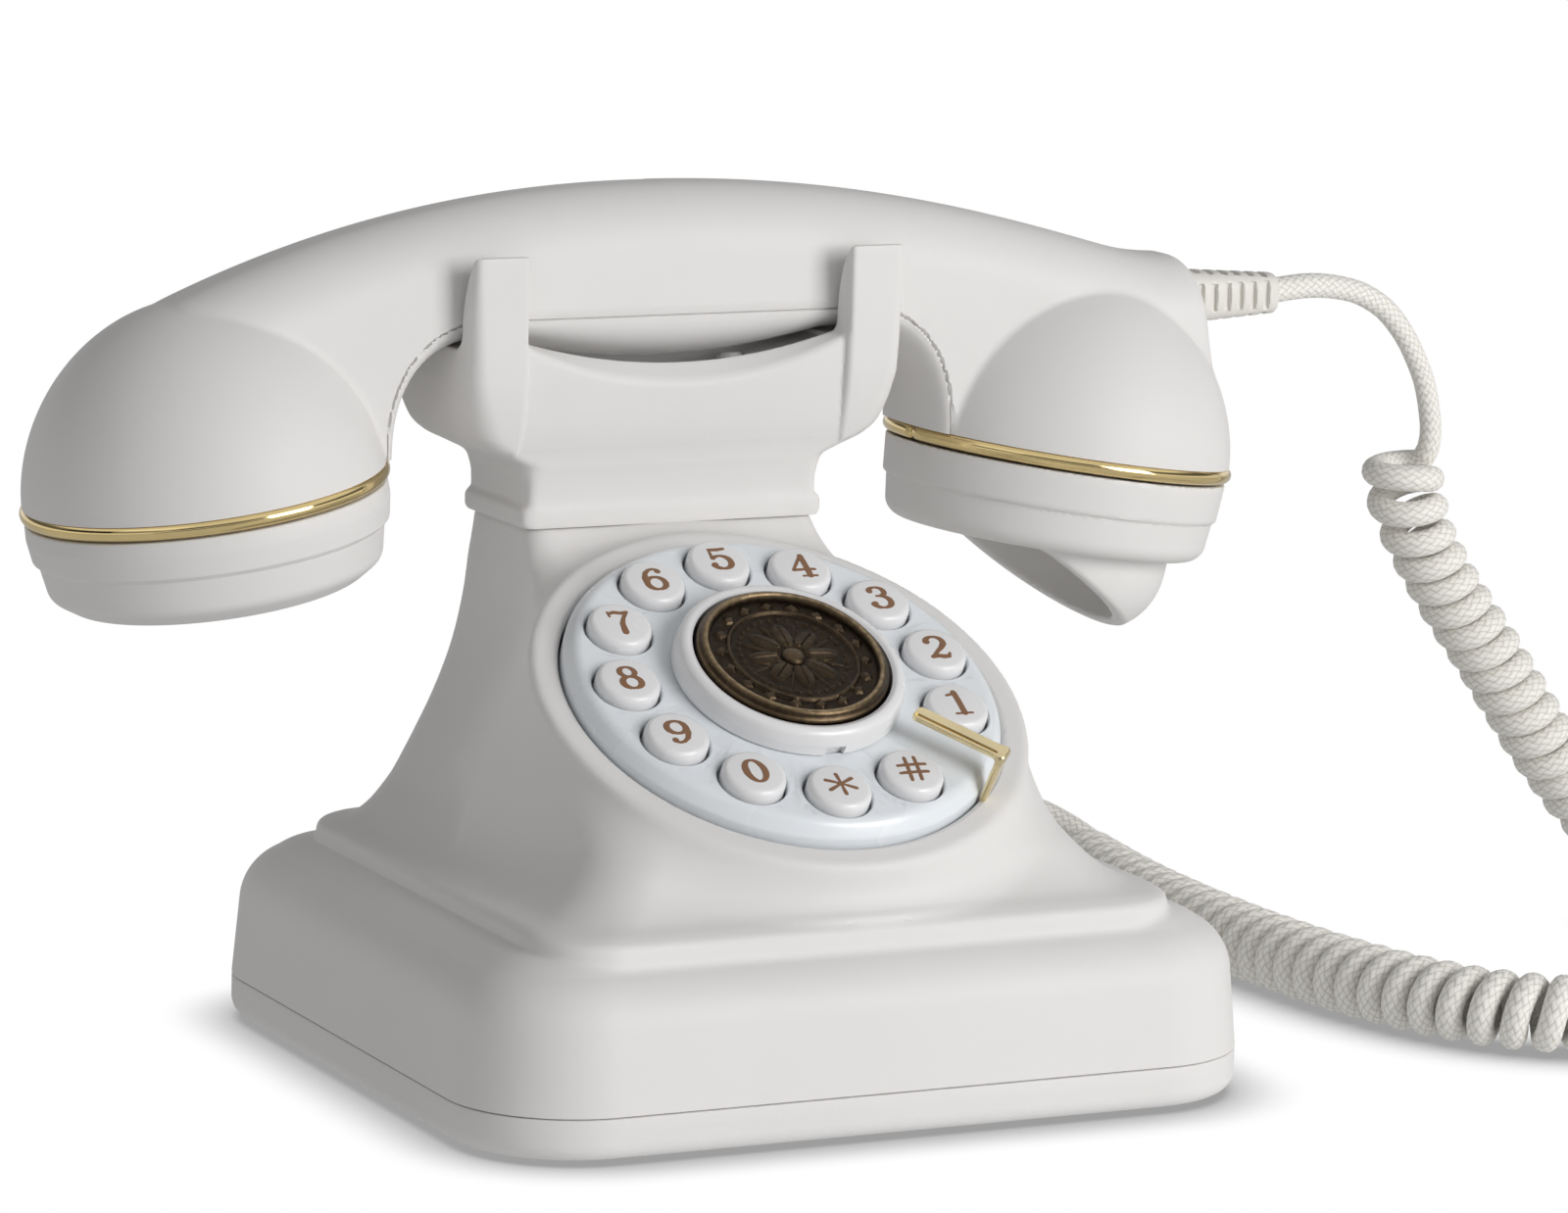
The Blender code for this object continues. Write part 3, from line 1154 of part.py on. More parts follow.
def make_cords(finish):
    tube("handset_cord_upper", smooth_route(UPPER_CORD_ROUTE, 0.0050), CORD_RADIUS, finish)
    tube("handset_cord_coil", smooth_route(COIL_ROUTE, 0.0120), COIL_RADIUS, finish, 3)
    tube("handset_cord_lower", smooth_route(LOWER_CORD_ROUTE, 0.0050), CORD_RADIUS, finish)


# ---------------------------------------------------------------- build
def main():
    clear_scene()
    finish = {
        "white": material("white_plastic", (0.80, 0.78, 0.77), 0.38),
        "dial": material("dial_plastic", (0.74, 0.80, 0.85), 0.22),
        "key": material("button_plastic", (0.84, 0.84, 0.85), 0.20),
        "gold": material("polished_gold", (0.83, 0.66, 0.33), 0.12, 1.0),
        "stop": material("champagne_metal", (0.80, 0.69, 0.46), 0.25, 1.0),
        "bronze": material("antique_bronze", (0.16, 0.12, 0.08), 0.38, 1.0),
        "rubber": material("grey_rubber", (0.20, 0.20, 0.20), 0.80),
        "steel": material("steel", (0.60, 0.60, 0.60), 0.35, 1.0),
        "dark": material("dark_plastic", (0.05, 0.05, 0.05), 0.50),
        "board": material("circuit_board", (0.05, 0.22, 0.10), 0.50),
        "braid": material("braided_cord", (0.64, 0.62, 0.56), 0.85),
        "relief": material("cord_sleeve", (0.76, 0.74, 0.70), 0.50),
    }
    make_body(finish["white"])
    make_base_plate(finish["white"])
    make_feet(finish["rubber"])
    make_case_screws(finish["steel"])
    make_base_internals(finish)
    make_jack("handset_jack", JACK_X, (PLUG_SIZE[0] + 0.0008, PLUG_SIZE[2] + 0.0008), finish["dark"])
    make_jack("line_jack", LINE_JACK_X, (0.0096, 0.0068), finish["dark"])
    make_plug(finish["relief"])
    plate = make_dial(finish)
    make_dial_posts(plate)
    make_centre_ring(finish["key"])
    make_redial(finish["bronze"])
    make_keys(finish["key"])
    make_key_stack(finish)
    make_finger_stop(finish["stop"])
    make_cradle(finish["white"])
    make_hook(finish)
    make_upper_shell(finish["white"])
    make_lower_shell(finish["white"])
    make_gold_ring("ear_ring", -1, finish["gold"])
    make_gold_ring("mouth_ring", 1, finish["gold"])
    make_ear_cap(finish["white"])
    make_mouth_cap(finish["white"])
    make_handset_internals(finish)
    make_strain_relief(finish["relief"])
    make_cords(finish["braid"])


main()
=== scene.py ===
"""A white push-button desk telephone: handset on its cradle, gold trim and a curly braided cord."""

import json
import math

import bmesh
import bpy
import numpy as np
from mathutils import Matrix, Vector


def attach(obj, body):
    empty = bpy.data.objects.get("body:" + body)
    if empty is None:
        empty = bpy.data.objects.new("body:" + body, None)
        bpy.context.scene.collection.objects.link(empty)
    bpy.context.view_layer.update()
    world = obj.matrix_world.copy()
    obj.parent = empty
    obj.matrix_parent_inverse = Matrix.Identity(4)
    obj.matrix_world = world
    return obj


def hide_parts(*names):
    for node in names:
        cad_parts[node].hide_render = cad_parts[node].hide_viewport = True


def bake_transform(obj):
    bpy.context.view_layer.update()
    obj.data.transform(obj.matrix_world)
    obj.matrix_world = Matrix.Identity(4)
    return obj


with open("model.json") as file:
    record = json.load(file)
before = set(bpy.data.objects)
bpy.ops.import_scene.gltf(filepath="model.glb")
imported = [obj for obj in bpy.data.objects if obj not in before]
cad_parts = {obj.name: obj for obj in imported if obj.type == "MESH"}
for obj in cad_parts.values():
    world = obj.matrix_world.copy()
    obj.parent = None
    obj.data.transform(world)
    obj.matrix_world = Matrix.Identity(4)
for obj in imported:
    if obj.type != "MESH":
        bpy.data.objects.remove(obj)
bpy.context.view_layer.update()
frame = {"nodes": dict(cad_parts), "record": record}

# Lengths below are millimetres; MM turns them into the frame's metres.
MM = 0.001
CRADLE_Y = 40.3
BASE_HALF, BASE_DEPTH, BASE_CORNER = 75.0, 70.6, 22.4
JACK_XS, JACK_Z, JACK_HALF = (48.0, -30.0), 18.0, 6.9
DIAL_Y, DIAL_Z, DIAL_TILT = -22.0, 72.3, math.radians(30.4)
CUP_X, CUP_Z, CUP_TILT = 85.8, 100.6, math.radians(8.6)
KEY_NAMES = ["1", "2", "3", "4", "5", "6", "7", "8", "9", "0", "star", "hash"]
KEY_CIRCLE, KEY_FIRST, KEY_STEP = 30.7, math.radians(-22.4), math.radians(28.8)
STOP_ANGLE = math.radians(-46.0)
SLEEVE_X, SLEEVE_Z = 110.2, 128.6


# --- camera
def make_camera():
    """The photograph's view: a long lens from the front left, a little above."""
    yaw, pitch, roll = math.radians(25.88), math.radians(-9.81), math.radians(1.35)
    forward = Vector((math.sin(yaw) * math.cos(pitch), math.cos(yaw) * math.cos(pitch), math.sin(pitch)))
    right = Vector((math.cos(yaw), -math.sin(yaw), 0))
    up = right.cross(forward)
    turned_right = right * math.cos(roll) + up * math.sin(roll)
    turned_up = up * math.cos(roll) - right * math.sin(roll)
    data = bpy.data.cameras.new("camera")
    data.lens = 163.4
    data.sensor_width = 36
    data.clip_end = 20
    camera = bpy.data.objects.new("camera", data)
    rotation = Matrix((turned_right, turned_up, -forward)).transposed()
    camera.matrix_world = Matrix.Translation((-0.5394, -1.13218, 0.29859)) @ rotation.to_4x4()
    bpy.context.scene.collection.objects.link(camera)
    bpy.context.scene.camera = camera


make_camera()


# --- materials
class Look:
    """A node material built round one Principled shader."""

    def __init__(self, name, color, roughness, metallic=0.0):
        self.material = bpy.data.materials.new(name)
        self.material.use_nodes = True
        self.tree = self.material.node_tree
        self.shader = self.tree.nodes["Principled BSDF"]
        self.set("Base Color", (*color, 1.0))
        self.set("Roughness", roughness)
        self.set("Metallic", metallic)
        self.material.diffuse_color = (*color, 1.0)

    def set(self, socket, value):
        self.shader.inputs[socket].default_value = value

    def add(self, kind, **values):
        made = self.tree.nodes.new(kind)
        for key, value in values.items():
            if hasattr(made, key):
                setattr(made, key, value)
            else:
                made.inputs[key.replace("_", " ")].default_value = value
        return made

    def link(self, source, target):
        self.tree.links.new(source, target)

    def math(self, operation, a, b=None):
        made = self.add("ShaderNodeMath", operation=operation)
        for slot, value in enumerate((a, b)):
            if value is None:
                continue
            if isinstance(value, (int, float)):
                made.inputs[slot].default_value = value
            else:
                self.link(value, made.inputs[slot])
        return made.outputs[0]

    def noise(self, scale, detail=3.0, roughness=0.5):
        place = self.add("ShaderNodeTexCoord")
        made = self.add("ShaderNodeTexNoise", Scale=scale, Detail=detail, Roughness=roughness)
        self.link(place.outputs["Object"], made.inputs["Vector"])
        return made.outputs["Fac"]

    def ramp(self, source, stops):
        made = self.add("ShaderNodeValToRGB")
        while len(made.color_ramp.elements) < len(stops):
            made.color_ramp.elements.new(0.5)
        for element, (place, color) in zip(made.color_ramp.elements, stops):
            element.position = place
            element.color = (*color, 1.0)
        self.link(source, made.inputs["Fac"])
        return made.outputs["Color"]

    def mottle(self, scale, low, high):
        """Slow colour variation from one tone to another."""
        self.link(self.ramp(self.noise(scale), [(0.35, low), (0.65, high)]), self.shader.inputs["Base Color"])

    def uneven_gloss(self, scale, low, high):
        span = self.add("ShaderNodeMapRange", From_Min=0.3, From_Max=0.7, To_Min=low, To_Max=high)
        self.link(self.noise(scale), span.inputs["Value"])
        self.link(span.outputs["Result"], self.shader.inputs["Roughness"])

    def bump(self, height, strength, distance):
        made = self.add("ShaderNodeBump", Strength=strength, Distance=distance)
        self.link(height, made.inputs["Height"])
        self.link(made.outputs["Normal"], self.shader.inputs["Normal"])


def shade(color, factor):
    return tuple(min(1.0, part * factor) for part in color)


def plastic(name, color, roughness, grain, coat=0.0, shine=0.5):
    look = Look(name, color, roughness)
    look.set("Specular IOR Level", shine)
    look.mottle(18.0, shade(color, 0.985), shade(color, 1.012))
    look.uneven_gloss(45.0, roughness - 0.03, roughness + 0.03)
    look.bump(look.noise(grain, 2.0), 0.05, 0.0002)
    look.set("Coat Weight", coat)
    look.set("Coat Roughness", 0.12)
    return look


def metal(name, color, roughness, grain):
    look = Look(name, color, roughness, 1.0)
    look.mottle(60.0, shade(color, 0.93), shade(color, 1.05))
    look.uneven_gloss(grain, roughness * 0.75, roughness * 1.3)
    look.bump(look.noise(grain * 4, 2.0), 0.04, 0.0001)
    return look


def bronze_look():
    """Dark patina in the low places, rubbed brass on the high ones."""
    look = Look("antique_bronze", (0.05, 0.035, 0.022), 0.38, 1.0)
    height = look.add("ShaderNodeAttribute", attribute_name="relief").outputs["Fac"]
    uneven = look.math("MULTIPLY", look.math("SUBTRACT", look.noise(900.0, 4.0), 0.5), 0.5)
    worn = look.math("ADD", height, uneven)
    look.link(look.ramp(worn, [(0.0, (0.020, 0.014, 0.009)), (0.35, (0.054, 0.038, 0.024)),
                               (0.72, (0.140, 0.100, 0.058)), (1.0, (0.38, 0.29, 0.175))]),
              look.shader.inputs["Base Color"])
    look.uneven_gloss(700.0, 0.30, 0.46)
    look.bump(look.noise(1500.0, 3.0), 0.12, 0.0001)
    return look


def braid_look():
    """Crossing yarns from the length and girth coordinates of the cord, with painted shade where the weave
    lies low.
    """
    look = Look("braided_cord", (0.62, 0.60, 0.545), 0.78)
    place = look.add("ShaderNodeUVMap", uv_map="yarn")
    parts = look.add("ShaderNodeSeparateXYZ")
    look.link(place.outputs["UV"], parts.inputs[0])
    along, around = parts.outputs["X"], parts.outputs["Y"]
    left = look.math("ADD", around, along)
    right = look.math("SUBTRACT", around, along)
    yarn = []
    for lane in (left, right):
        wave = look.math("SINE", look.math("MULTIPLY", lane, math.pi))
        yarn.append(look.math("POWER", look.math("ABSOLUTE", wave), 0.6))
    cells = look.math("ADD", look.math("FLOOR", left), look.math("FLOOR", right))
    over = look.math("PINGPONG", cells, 1.0)
    upper = look.math("MULTIPLY", yarn[0], over)
    lower = look.math("MULTIPLY", yarn[1], look.math("SUBTRACT", 1.0, over))
    height = look.math("ADD", upper, lower)
    fibre = look.math("MULTIPLY", look.noise(5200.0, 2.0), 0.25)
    # Colour follows yarn height: the darker low weave and lighter yarn crowns are painted shade between the
    # yarns; the fibre noise adds real tone.
    look.link(look.ramp(look.math("ADD", height, look.math("MULTIPLY", fibre, 0.5)),
                        [(0.10, (0.60, 0.58, 0.52)), (0.55, (0.78, 0.76, 0.70)), (1.0, (0.93, 0.915, 0.87))]),
              look.shader.inputs["Base Color"])
    look.bump(look.math("ADD", height, fibre), 0.55, 0.00025)
    look.set("Sheen Weight", 0.25)
    look.set("Sheen Roughness", 0.4)
    return look


WHITE = (0.765, 0.755, 0.745)
LOOKS = {
    "white_plastic": plastic("white_plastic", WHITE, 0.48, 2600.0, shine=0.22),
    "dial_plastic": plastic("dial_plastic", (0.80, 0.84, 0.875), 0.28, 2200.0, 0.1),
    "button_plastic": plastic("button_plastic", (0.815, 0.815, 0.825), 0.26, 2200.0, 0.1),
    "number_ink": plastic("number_ink", (0.22, 0.105, 0.046), 0.5, 3000.0),
    "polished_gold": metal("polished_gold", (0.80, 0.63, 0.31), 0.11, 240.0),
    "champagne_metal": metal("champagne_metal", (0.83, 0.70, 0.42), 0.20, 240.0),
    "antique_bronze": bronze_look(),
    "grey_rubber": plastic("grey_rubber", (0.16, 0.16, 0.16), 0.75, 900.0),
    "steel": metal("steel", (0.60, 0.60, 0.60), 0.30, 400.0),
    "dark_plastic": plastic("dark_plastic", (0.035, 0.035, 0.035), 0.45, 1500.0),
    "circuit_board": plastic("circuit_board", (0.03, 0.18, 0.07), 0.40, 1200.0),
    "braided_cord": braid_look(),
    "cord_sleeve": plastic("cord_sleeve", (0.76, 0.745, 0.70), 0.48, 2000.0),
}
for entry in frame["record"]["subparts"]:
    node = frame["nodes"][entry["node"]]
    node.data.materials.clear()
    node.data.materials.append(LOOKS[entry["material_slot"]].material)


# --- meshes
def put(name, points, faces, slot, body, nodes=(), look=None, crease=35.0):
    """Makes a piece from points in millimetres in the frame, and rides it on its body."""
    mesh = bpy.data.meshes.new(name)
    mesh.from_pydata((np.asarray(points) * MM).tolist(), [], [list(face) for face in faces])
    mesh.validate()
    work = bmesh.new()
    work.from_mesh(mesh)
    bmesh.ops.recalc_face_normals(work, faces=work.faces)
    work.to_mesh(mesh)
    work.free()
    mesh.materials.append(LOOKS[look or slot].material)
    mesh.shade_smooth()
    mesh.set_sharp_from_angle(angle=math.radians(crease))
    made = bpy.data.objects.new(name, mesh)
    bpy.context.scene.collection.objects.link(made)
    if body:
        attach(made, body)
        if nodes:
            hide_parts(*nodes)
    return made


def cut_away(piece, cutter):
    """Applies a Boolean difference and removes the cutter."""
    step = piece.modifiers.new("cut", "BOOLEAN")
    step.operation = "DIFFERENCE"
    step.solver = "EXACT"
    step.object = cutter
    bpy.context.view_layer.update()
    mesh = bpy.data.meshes.new_from_object(piece.evaluated_get(bpy.context.evaluated_depsgraph_get()))
    piece.modifiers.clear()
    old, piece.data = piece.data, mesh
    mesh.name = piece.name
    bpy.data.meshes.remove(old)
    bpy.data.objects.remove(cutter)
    mesh.shade_smooth()
    mesh.set_sharp_from_angle(angle=math.radians(35))


def rounded(corners, steps=6):
    """A polyline whose corners (r, h, fillet) are replaced by arcs."""
    points = []
    for index, (r, h, fillet) in enumerate(corners):
        if not fillet or index in (0, len(corners) - 1):
            points.append((r, h))
            continue
        here = np.array((r, h), float)
        before = np.array(corners[index - 1][:2], float) - here
        after = np.array(corners[index + 1][:2], float) - here
        before /= np.linalg.norm(before)
        after /= np.linalg.norm(after)
        half = math.acos(max(-1.0, min(1.0, float(before @ after)))) / 2
        reach = fillet / math.tan(half)
        middle = here + (before + after) / np.linalg.norm(before + after) * fillet / math.sin(half)
        start, end = here + before * reach - middle, here + after * reach - middle
        turn = math.acos(max(-1.0, min(1.0, float(start @ end) / fillet ** 2)))
        for k in range(steps + 1):
            t = k / steps
            blend = (start * math.sin((1 - t) * turn) + end * math.sin(t * turn)) / math.sin(turn)
            points.append(tuple(middle + blend))
    return points


def turned(profile, segments, place, closed=False):
    """Points and faces of a turned form; a profile point on the axis becomes one pole."""
    points, rows = [], []
    for r, h in profile:
        if r < 1e-6:
            rows.append([len(points)] * segments)
            points.append((0, 0, h))
            continue
        rows.append(list(range(len(points), len(points) + segments)))
        for k in range(segments):
            angle = 2 * math.pi * k / segments
            points.append((r * math.cos(angle), r * math.sin(angle), h))
    faces = []
    pairs = list(zip(rows, rows[1:])) + ([(rows[-1], rows[0])] if closed else [])
    for lower, upper in pairs:
        for k in range(segments):
            n = (k + 1) % segments
            face = [lower[k], lower[n], upper[n], upper[k]]
            kept = [v for i, v in enumerate(face) if v not in face[:i]]
            if len(kept) > 2:
                faces.append(kept)
    return place(np.array(points, float)), faces


def lofted(rings, caps=True):
    """Points and faces through closed rings of equal length."""
    count = len(rings[0])
    points = np.vstack(rings)
    faces = []
    for row in range(len(rings) - 1):
        for k in range(count):
            n = (k + 1) % count
            a, b = row * count, (row + 1) * count
            faces.append((a + k, a + n, b + n, b + k))
    if caps:
        faces.append(tuple(reversed(range(count))))
        faces.append(tuple(range(len(points) - count, len(points))))
    return points, faces


# --- frames
def dial_place(points):
    """From the dial's own frame, with h out of its face, to the telephone's."""
    c, s = math.cos(DIAL_TILT), math.sin(DIAL_TILT)
    x, y, z = points.T
    return np.column_stack((x, DIAL_Y + c * y - s * z, DIAL_Z + s * y + c * z))


def dial_coords(x, y, z):
    """The way back: a point of the telephone in the dial's frame."""
    c, s = math.cos(DIAL_TILT), math.sin(DIAL_TILT)
    return x, c * (y - DIAL_Y) + s * (z - DIAL_Z), -s * (y - DIAL_Y) + c * (z - DIAL_Z)


def cup_place(side):
    """From the frame of one cup, with u outwards and h along its axis, to the telephone's."""
    c, s = math.cos(CUP_TILT), math.sin(CUP_TILT)

    def place(points):
        u, v, h = points.T
        return np.column_stack((side * (CUP_X + c * u + s * h), CRADLE_Y + side * v, CUP_Z - s * u + c * h))
    return place


def cup_coords(x, y, z):
    """Distance outwards, across and up from the middle of the nearer ring."""
    c, s = math.cos(CUP_TILT), math.sin(CUP_TILT)
    out, up = np.abs(x) - CUP_X, z - CUP_Z
    return c * out - s * up, y - CRADLE_Y, s * out + c * up


# --- smooth solids
def cut(a, b, radius):
    """Keeps what is in both fields, with a round edge."""
    edge = np.hypot(np.maximum(radius + a, 0), np.maximum(radius + b, 0))
    return np.minimum(-radius, np.maximum(a, b)) + edge


def join(a, b, radius):
    """Keeps what is in either field, with a round fillet."""
    edge = np.hypot(np.maximum(radius - a, 0), np.maximum(radius - b, 0))
    return np.maximum(radius, np.minimum(a, b)) - edge


def rect_field(x, y, half, front, back, corner):
    """Distance from an upright prism over a rectangle with round corners."""
    qx = np.abs(x) - half + corner
    qy = np.abs(y - (front + back) / 2) - (back - front) / 2 + corner
    return np.hypot(np.maximum(qx, 0), np.maximum(qy, 0)) + np.minimum(np.maximum(qx, qy), 0) - corner


def smooth_table(rows):
    """Reads a table through its points with a monotone cubic; returns one function of its first column."""
    rows = np.array(rows, float)
    z = rows[:, 0]
    fine = np.linspace(z[0], z[-1], 500)
    columns = []
    for column in rows.T[1:]:
        step = np.diff(z)
        slope = np.diff(column) / step
        tangent = np.zeros(len(z))
        tangent[0], tangent[-1] = slope[0], slope[-1]
        for k in range(1, len(z) - 1):
            if slope[k - 1] * slope[k] > 0:
                a, b = 2 * step[k] + step[k - 1], step[k] + 2 * step[k - 1]
                tangent[k] = (a + b) / (a / slope[k - 1] + b / slope[k])
        place = np.clip(np.searchsorted(z, fine, "right") - 1, 0, len(z) - 2)
        t = (fine - z[place]) / step[place]
        columns.append((1 + 2 * t) * (1 - t) ** 2 * column[place]
                       + t * (1 - t) ** 2 * step[place] * tangent[place]
                       + t * t * (3 - 2 * t) * column[place + 1]
                       + t * t * (t - 1) * step[place] * tangent[place + 1])
    return lambda value: [np.interp(value, fine, column) for column in columns]


def solid(field, low, high, cell, relax=2):
    """Points and faces of a field's zero surface: one point per cell, then moved onto the surface."""
    counts = [int(math.ceil((b - a) / cell)) + 1 for a, b in zip(low, high)]
    axes = [a + cell * np.arange(n) for a, n in zip(low, counts)]
    values = np.empty(counts, np.float32)
    for start in range(0, counts[0], 12):
        block = np.meshgrid(axes[0][start:start + 12], axes[1], axes[2], indexing="ij")
        values[start:start + 12] = field(*block)
    inside = values < 0
    corners = [(i, j, k) for i in (0, 1) for j in (0, 1) for k in (0, 1)]
    cells = tuple(n - 1 for n in counts)

    def window(array, offset):
        return array[tuple(slice(o, o + n) for o, n in zip(offset, cells))]
    total = sum(window(inside, offset).astype(np.int8) for offset in corners)
    active = (total > 0) & (total < 8)
    index = np.full(cells, -1, np.int32)
    where = np.argwhere(active)
    index[active] = np.arange(len(where))
    sums = np.zeros((len(where), 3))
    hits = np.zeros(len(where))
    corner_values = {c: window(values, c)[active].astype(float) for c in corners}
    for axis in range(3):
        for first in corners:
            if first[axis]:
                continue
            second = tuple(1 if k == axis else first[k] for k in range(3))
            a, b = corner_values[first], corner_values[second]
            crossing = (a < 0) != (b < 0)
            t = np.where(crossing, a / np.where(crossing, a - b, 1.0), 0.0)
            spot = np.tile(np.array(first, float), (len(where), 1))
            spot[:, axis] = t
            sums += spot * crossing[:, None]
            hits += crossing
    points = np.array(low) + cell * (where + sums / hits[:, None])
    faces = []
    for axis in range(3):
        u, v = (axis + 1) % 3, (axis + 2) % 3
        near = [slice(1, n) for n in cells]
        near[axis] = slice(0, cells[axis])
        far = list(near)
        far[axis] = slice(1, cells[axis] + 1)
        edge = inside[tuple(near)] != inside[tuple(far)]
        spots = np.argwhere(edge) + np.array([0 if k == axis else 1 for k in range(3)])
        quad = []
        for du, dv in ((0, 0), (1, 0), (1, 1), (0, 1)):
            shift = spots.copy()
            shift[:, u] -= du
            shift[:, v] -= dv
            quad.append(index[tuple(shift.T)])
        quad = np.column_stack(quad)
        flip = inside[tuple(spots.T)]
        quad[~flip] = quad[~flip][:, ::-1]
        faces.append(quad)
    faces = np.vstack(faces)
    pairs = np.vstack([faces[:, [k, (k + 1) % 4]] for k in range(4)])
    pairs = np.vstack((pairs, pairs[:, ::-1]))
    degree = np.bincount(pairs[:, 0], minlength=len(points))[:, None]
    for turn in range(relax + 1):
        points = onto(field, points, cell)
        if turn < relax:
            mean = np.column_stack([np.bincount(pairs[:, 0], points[pairs[:, 1], k], len(points))
                                    for k in range(3)])
            points += 0.5 * (mean / degree - points)
    return points, faces


def onto(field, points, cell, steps=4):
    """Moves points along the field's gradient until they lie on its zero surface."""
    h = 0.02 * cell
    for _ in range(steps):
        value = field(*points.T)
        gradient = np.empty_like(points)
        for axis in range(3):
            shift = np.zeros(3)
            shift[axis] = h
            gradient[:, axis] = (field(*(points + shift).T) - field(*(points - shift).T)) / (2 * h)
        size = np.maximum((gradient ** 2).sum(1), 0.05)
        move = gradient * (value / size)[:, None]
        length = np.linalg.norm(move, axis=1)[:, None]
        points = points - move * np.minimum(1.0, 0.5 * cell / np.maximum(length, 1e-9))
    return points


# --- body
TOWER = smooth_table([
    (35.0, 60.2, -60.6, 12.0), (36.6, 59.4, -59.6, 12.0), (38.1, 55.0, -56.4, 11.8),
    (40.2, 51.6, -53.6, 11.4), (42.5, 49.2, -51.4, 11.0), (45.5, 46.6, -48.8, 10.5),
    (49.0, 44.4, -44.4, 10.2), (53.0, 42.1, -38.5, 10.0), (60.5, 38.1, -26.0, 9.5),
    (69.4, 34.3, -10.5, 8.5), (78.4, 31.7, 5.0, 7.0), (85.0, 30.3, 16.0, 5.5),
    (89.5, 29.2, 23.2, 4.5), (92.6, 28.6, 26.2, 4.0)])
BODY_TOP, BEZEL_RADIUS, BEZEL_HEIGHT = 92.6, 45.6, -3.9


def body_field(x, y, z):
    """Base slab, plinth and concave tower with the dial's drum; open for the hook and the jacks."""
    outline = rect_field(x, y, BASE_HALF, -BASE_DEPTH, BASE_DEPTH, BASE_CORNER) + 0.094 * (z - 8.65)
    top = 32.9 + 0.30 * np.clip(-outline - 8.3, -3.0, 6.5)
    slab = cut(outline, (z - top) / 1.03, 9.0)
    slab = np.maximum(slab, 7.0 - z)
    rise = 36.3 + 0.010 * (y + 62.0)
    plinth = cut(rect_field(x, y, 61.5, -62.1, 57.1, 13.4) + 0.10 * (z - 33.0), z - rise, 1.5)
    half, front, corner = TOWER(z)
    steep = TOWER(z + 0.1)[0] - half
    tower = rect_field(x, y, half, front, CRADLE_Y + 14.2, corner) / np.sqrt(1 + (steep * 10) ** 2)
    tower = cut(tower, z - BODY_TOP, 0.5)
    du, dv, dh = dial_coords(x, y, z)
    across = np.hypot(du, dv)
    drum = cut(across - BEZEL_RADIUS, dh - BEZEL_HEIGHT, 1.6)
    drum = np.maximum(drum, -34.0 - dh)
    tower = join(tower, drum, 9.0)
    whole = join(join(slab, plinth, 0.7), tower, 1.0)
    whole = np.maximum(whole, -np.maximum(across - 39.5, -21.0 - dh))
    deep = np.maximum(np.maximum(np.abs(x) - 21.0, np.abs(y - CRADLE_Y) - 7.6), 77.0 - z)
    whole = np.maximum(whole, -deep)
    for centre in JACK_XS:
        socket = np.maximum(np.abs(x - centre) - JACK_HALF, np.abs(z - JACK_Z) - JACK_HALF)
        socket = np.maximum(socket, 60.0 - y)
        whole = np.maximum(whole, -socket)
    return whole


def level_cut(points, faces, level, normal=(0, 0, 1), side=0):
    """Cuts a closed mesh off below a plane and closes it with one face; a side limits it to one end."""
    mesh = bmesh.new()
    verts = [mesh.verts.new(point) for point in points]
    for face in faces:
        mesh.faces.new([verts[k] for k in face])
    place = Vector(level) if hasattr(level, "__len__") else Vector((0, 0, level))
    near = mesh.verts[:] + mesh.edges[:] + mesh.faces[:]
    if side:
        verts = [v for v in mesh.verts if v.co.x * side > 48.0]
        picked = set(verts)
        near = verts + [part for part in mesh.edges[:] + mesh.faces[:]
                        if all(v in picked for v in part.verts)]
    cut_made = bmesh.ops.bisect_plane(mesh, geom=near, dist=1e-5, plane_co=place, plane_no=normal,
                                      clear_inner=True)
    rim = [part for part in cut_made["geom_cut"] if isinstance(part, bmesh.types.BMEdge)]
    bmesh.ops.edgenet_fill(mesh, edges=rim)
    mesh.verts.index_update()
    made = np.array([v.co for v in mesh.verts]), [[v.index for v in f.verts] for f in mesh.faces]
    mesh.free()
    return made


def make_body():
    """The upper housing, with a round well for the dial plate cut into its drum."""
    points, faces = solid(body_field, (-76.5, -72.5, 5.6), (76.5, 72.5, 94), 0.9)
    points, faces = level_cut(points, faces, 8.6)
    cover = put("body_cover", points, faces, "white_plastic", "telephone", ["body_shell"])
    profile = [(0, -22.0), (40.2, -22.0), (40.2, -4.9), (40.35, -4.45), (40.7, -4.1), (41.3, -3.9),
               (41.6, 0), (0, 0)]
    points, faces = turned(profile, 192, dial_place)
    cut_away(cover, put("well", points, faces, "white_plastic", None))


def base_ring(inset, z, per_corner=14):
    """The outline of the base at one height, drawn in by an inset."""
    corner, ring = BASE_CORNER - inset, []
    for sx, sy, start in ((1, 1, 0), (-1, 1, 1), (-1, -1, 2), (1, -1, 3)):
        for k in range(per_corner):
            angle = math.pi / 2 * (start + k / (per_corner - 1))
            ring.append((sx * (BASE_HALF - inset - corner) + corner * math.cos(angle),
                         sy * (BASE_DEPTH - inset - corner) + corner * math.sin(angle), z))
    return np.array(ring)


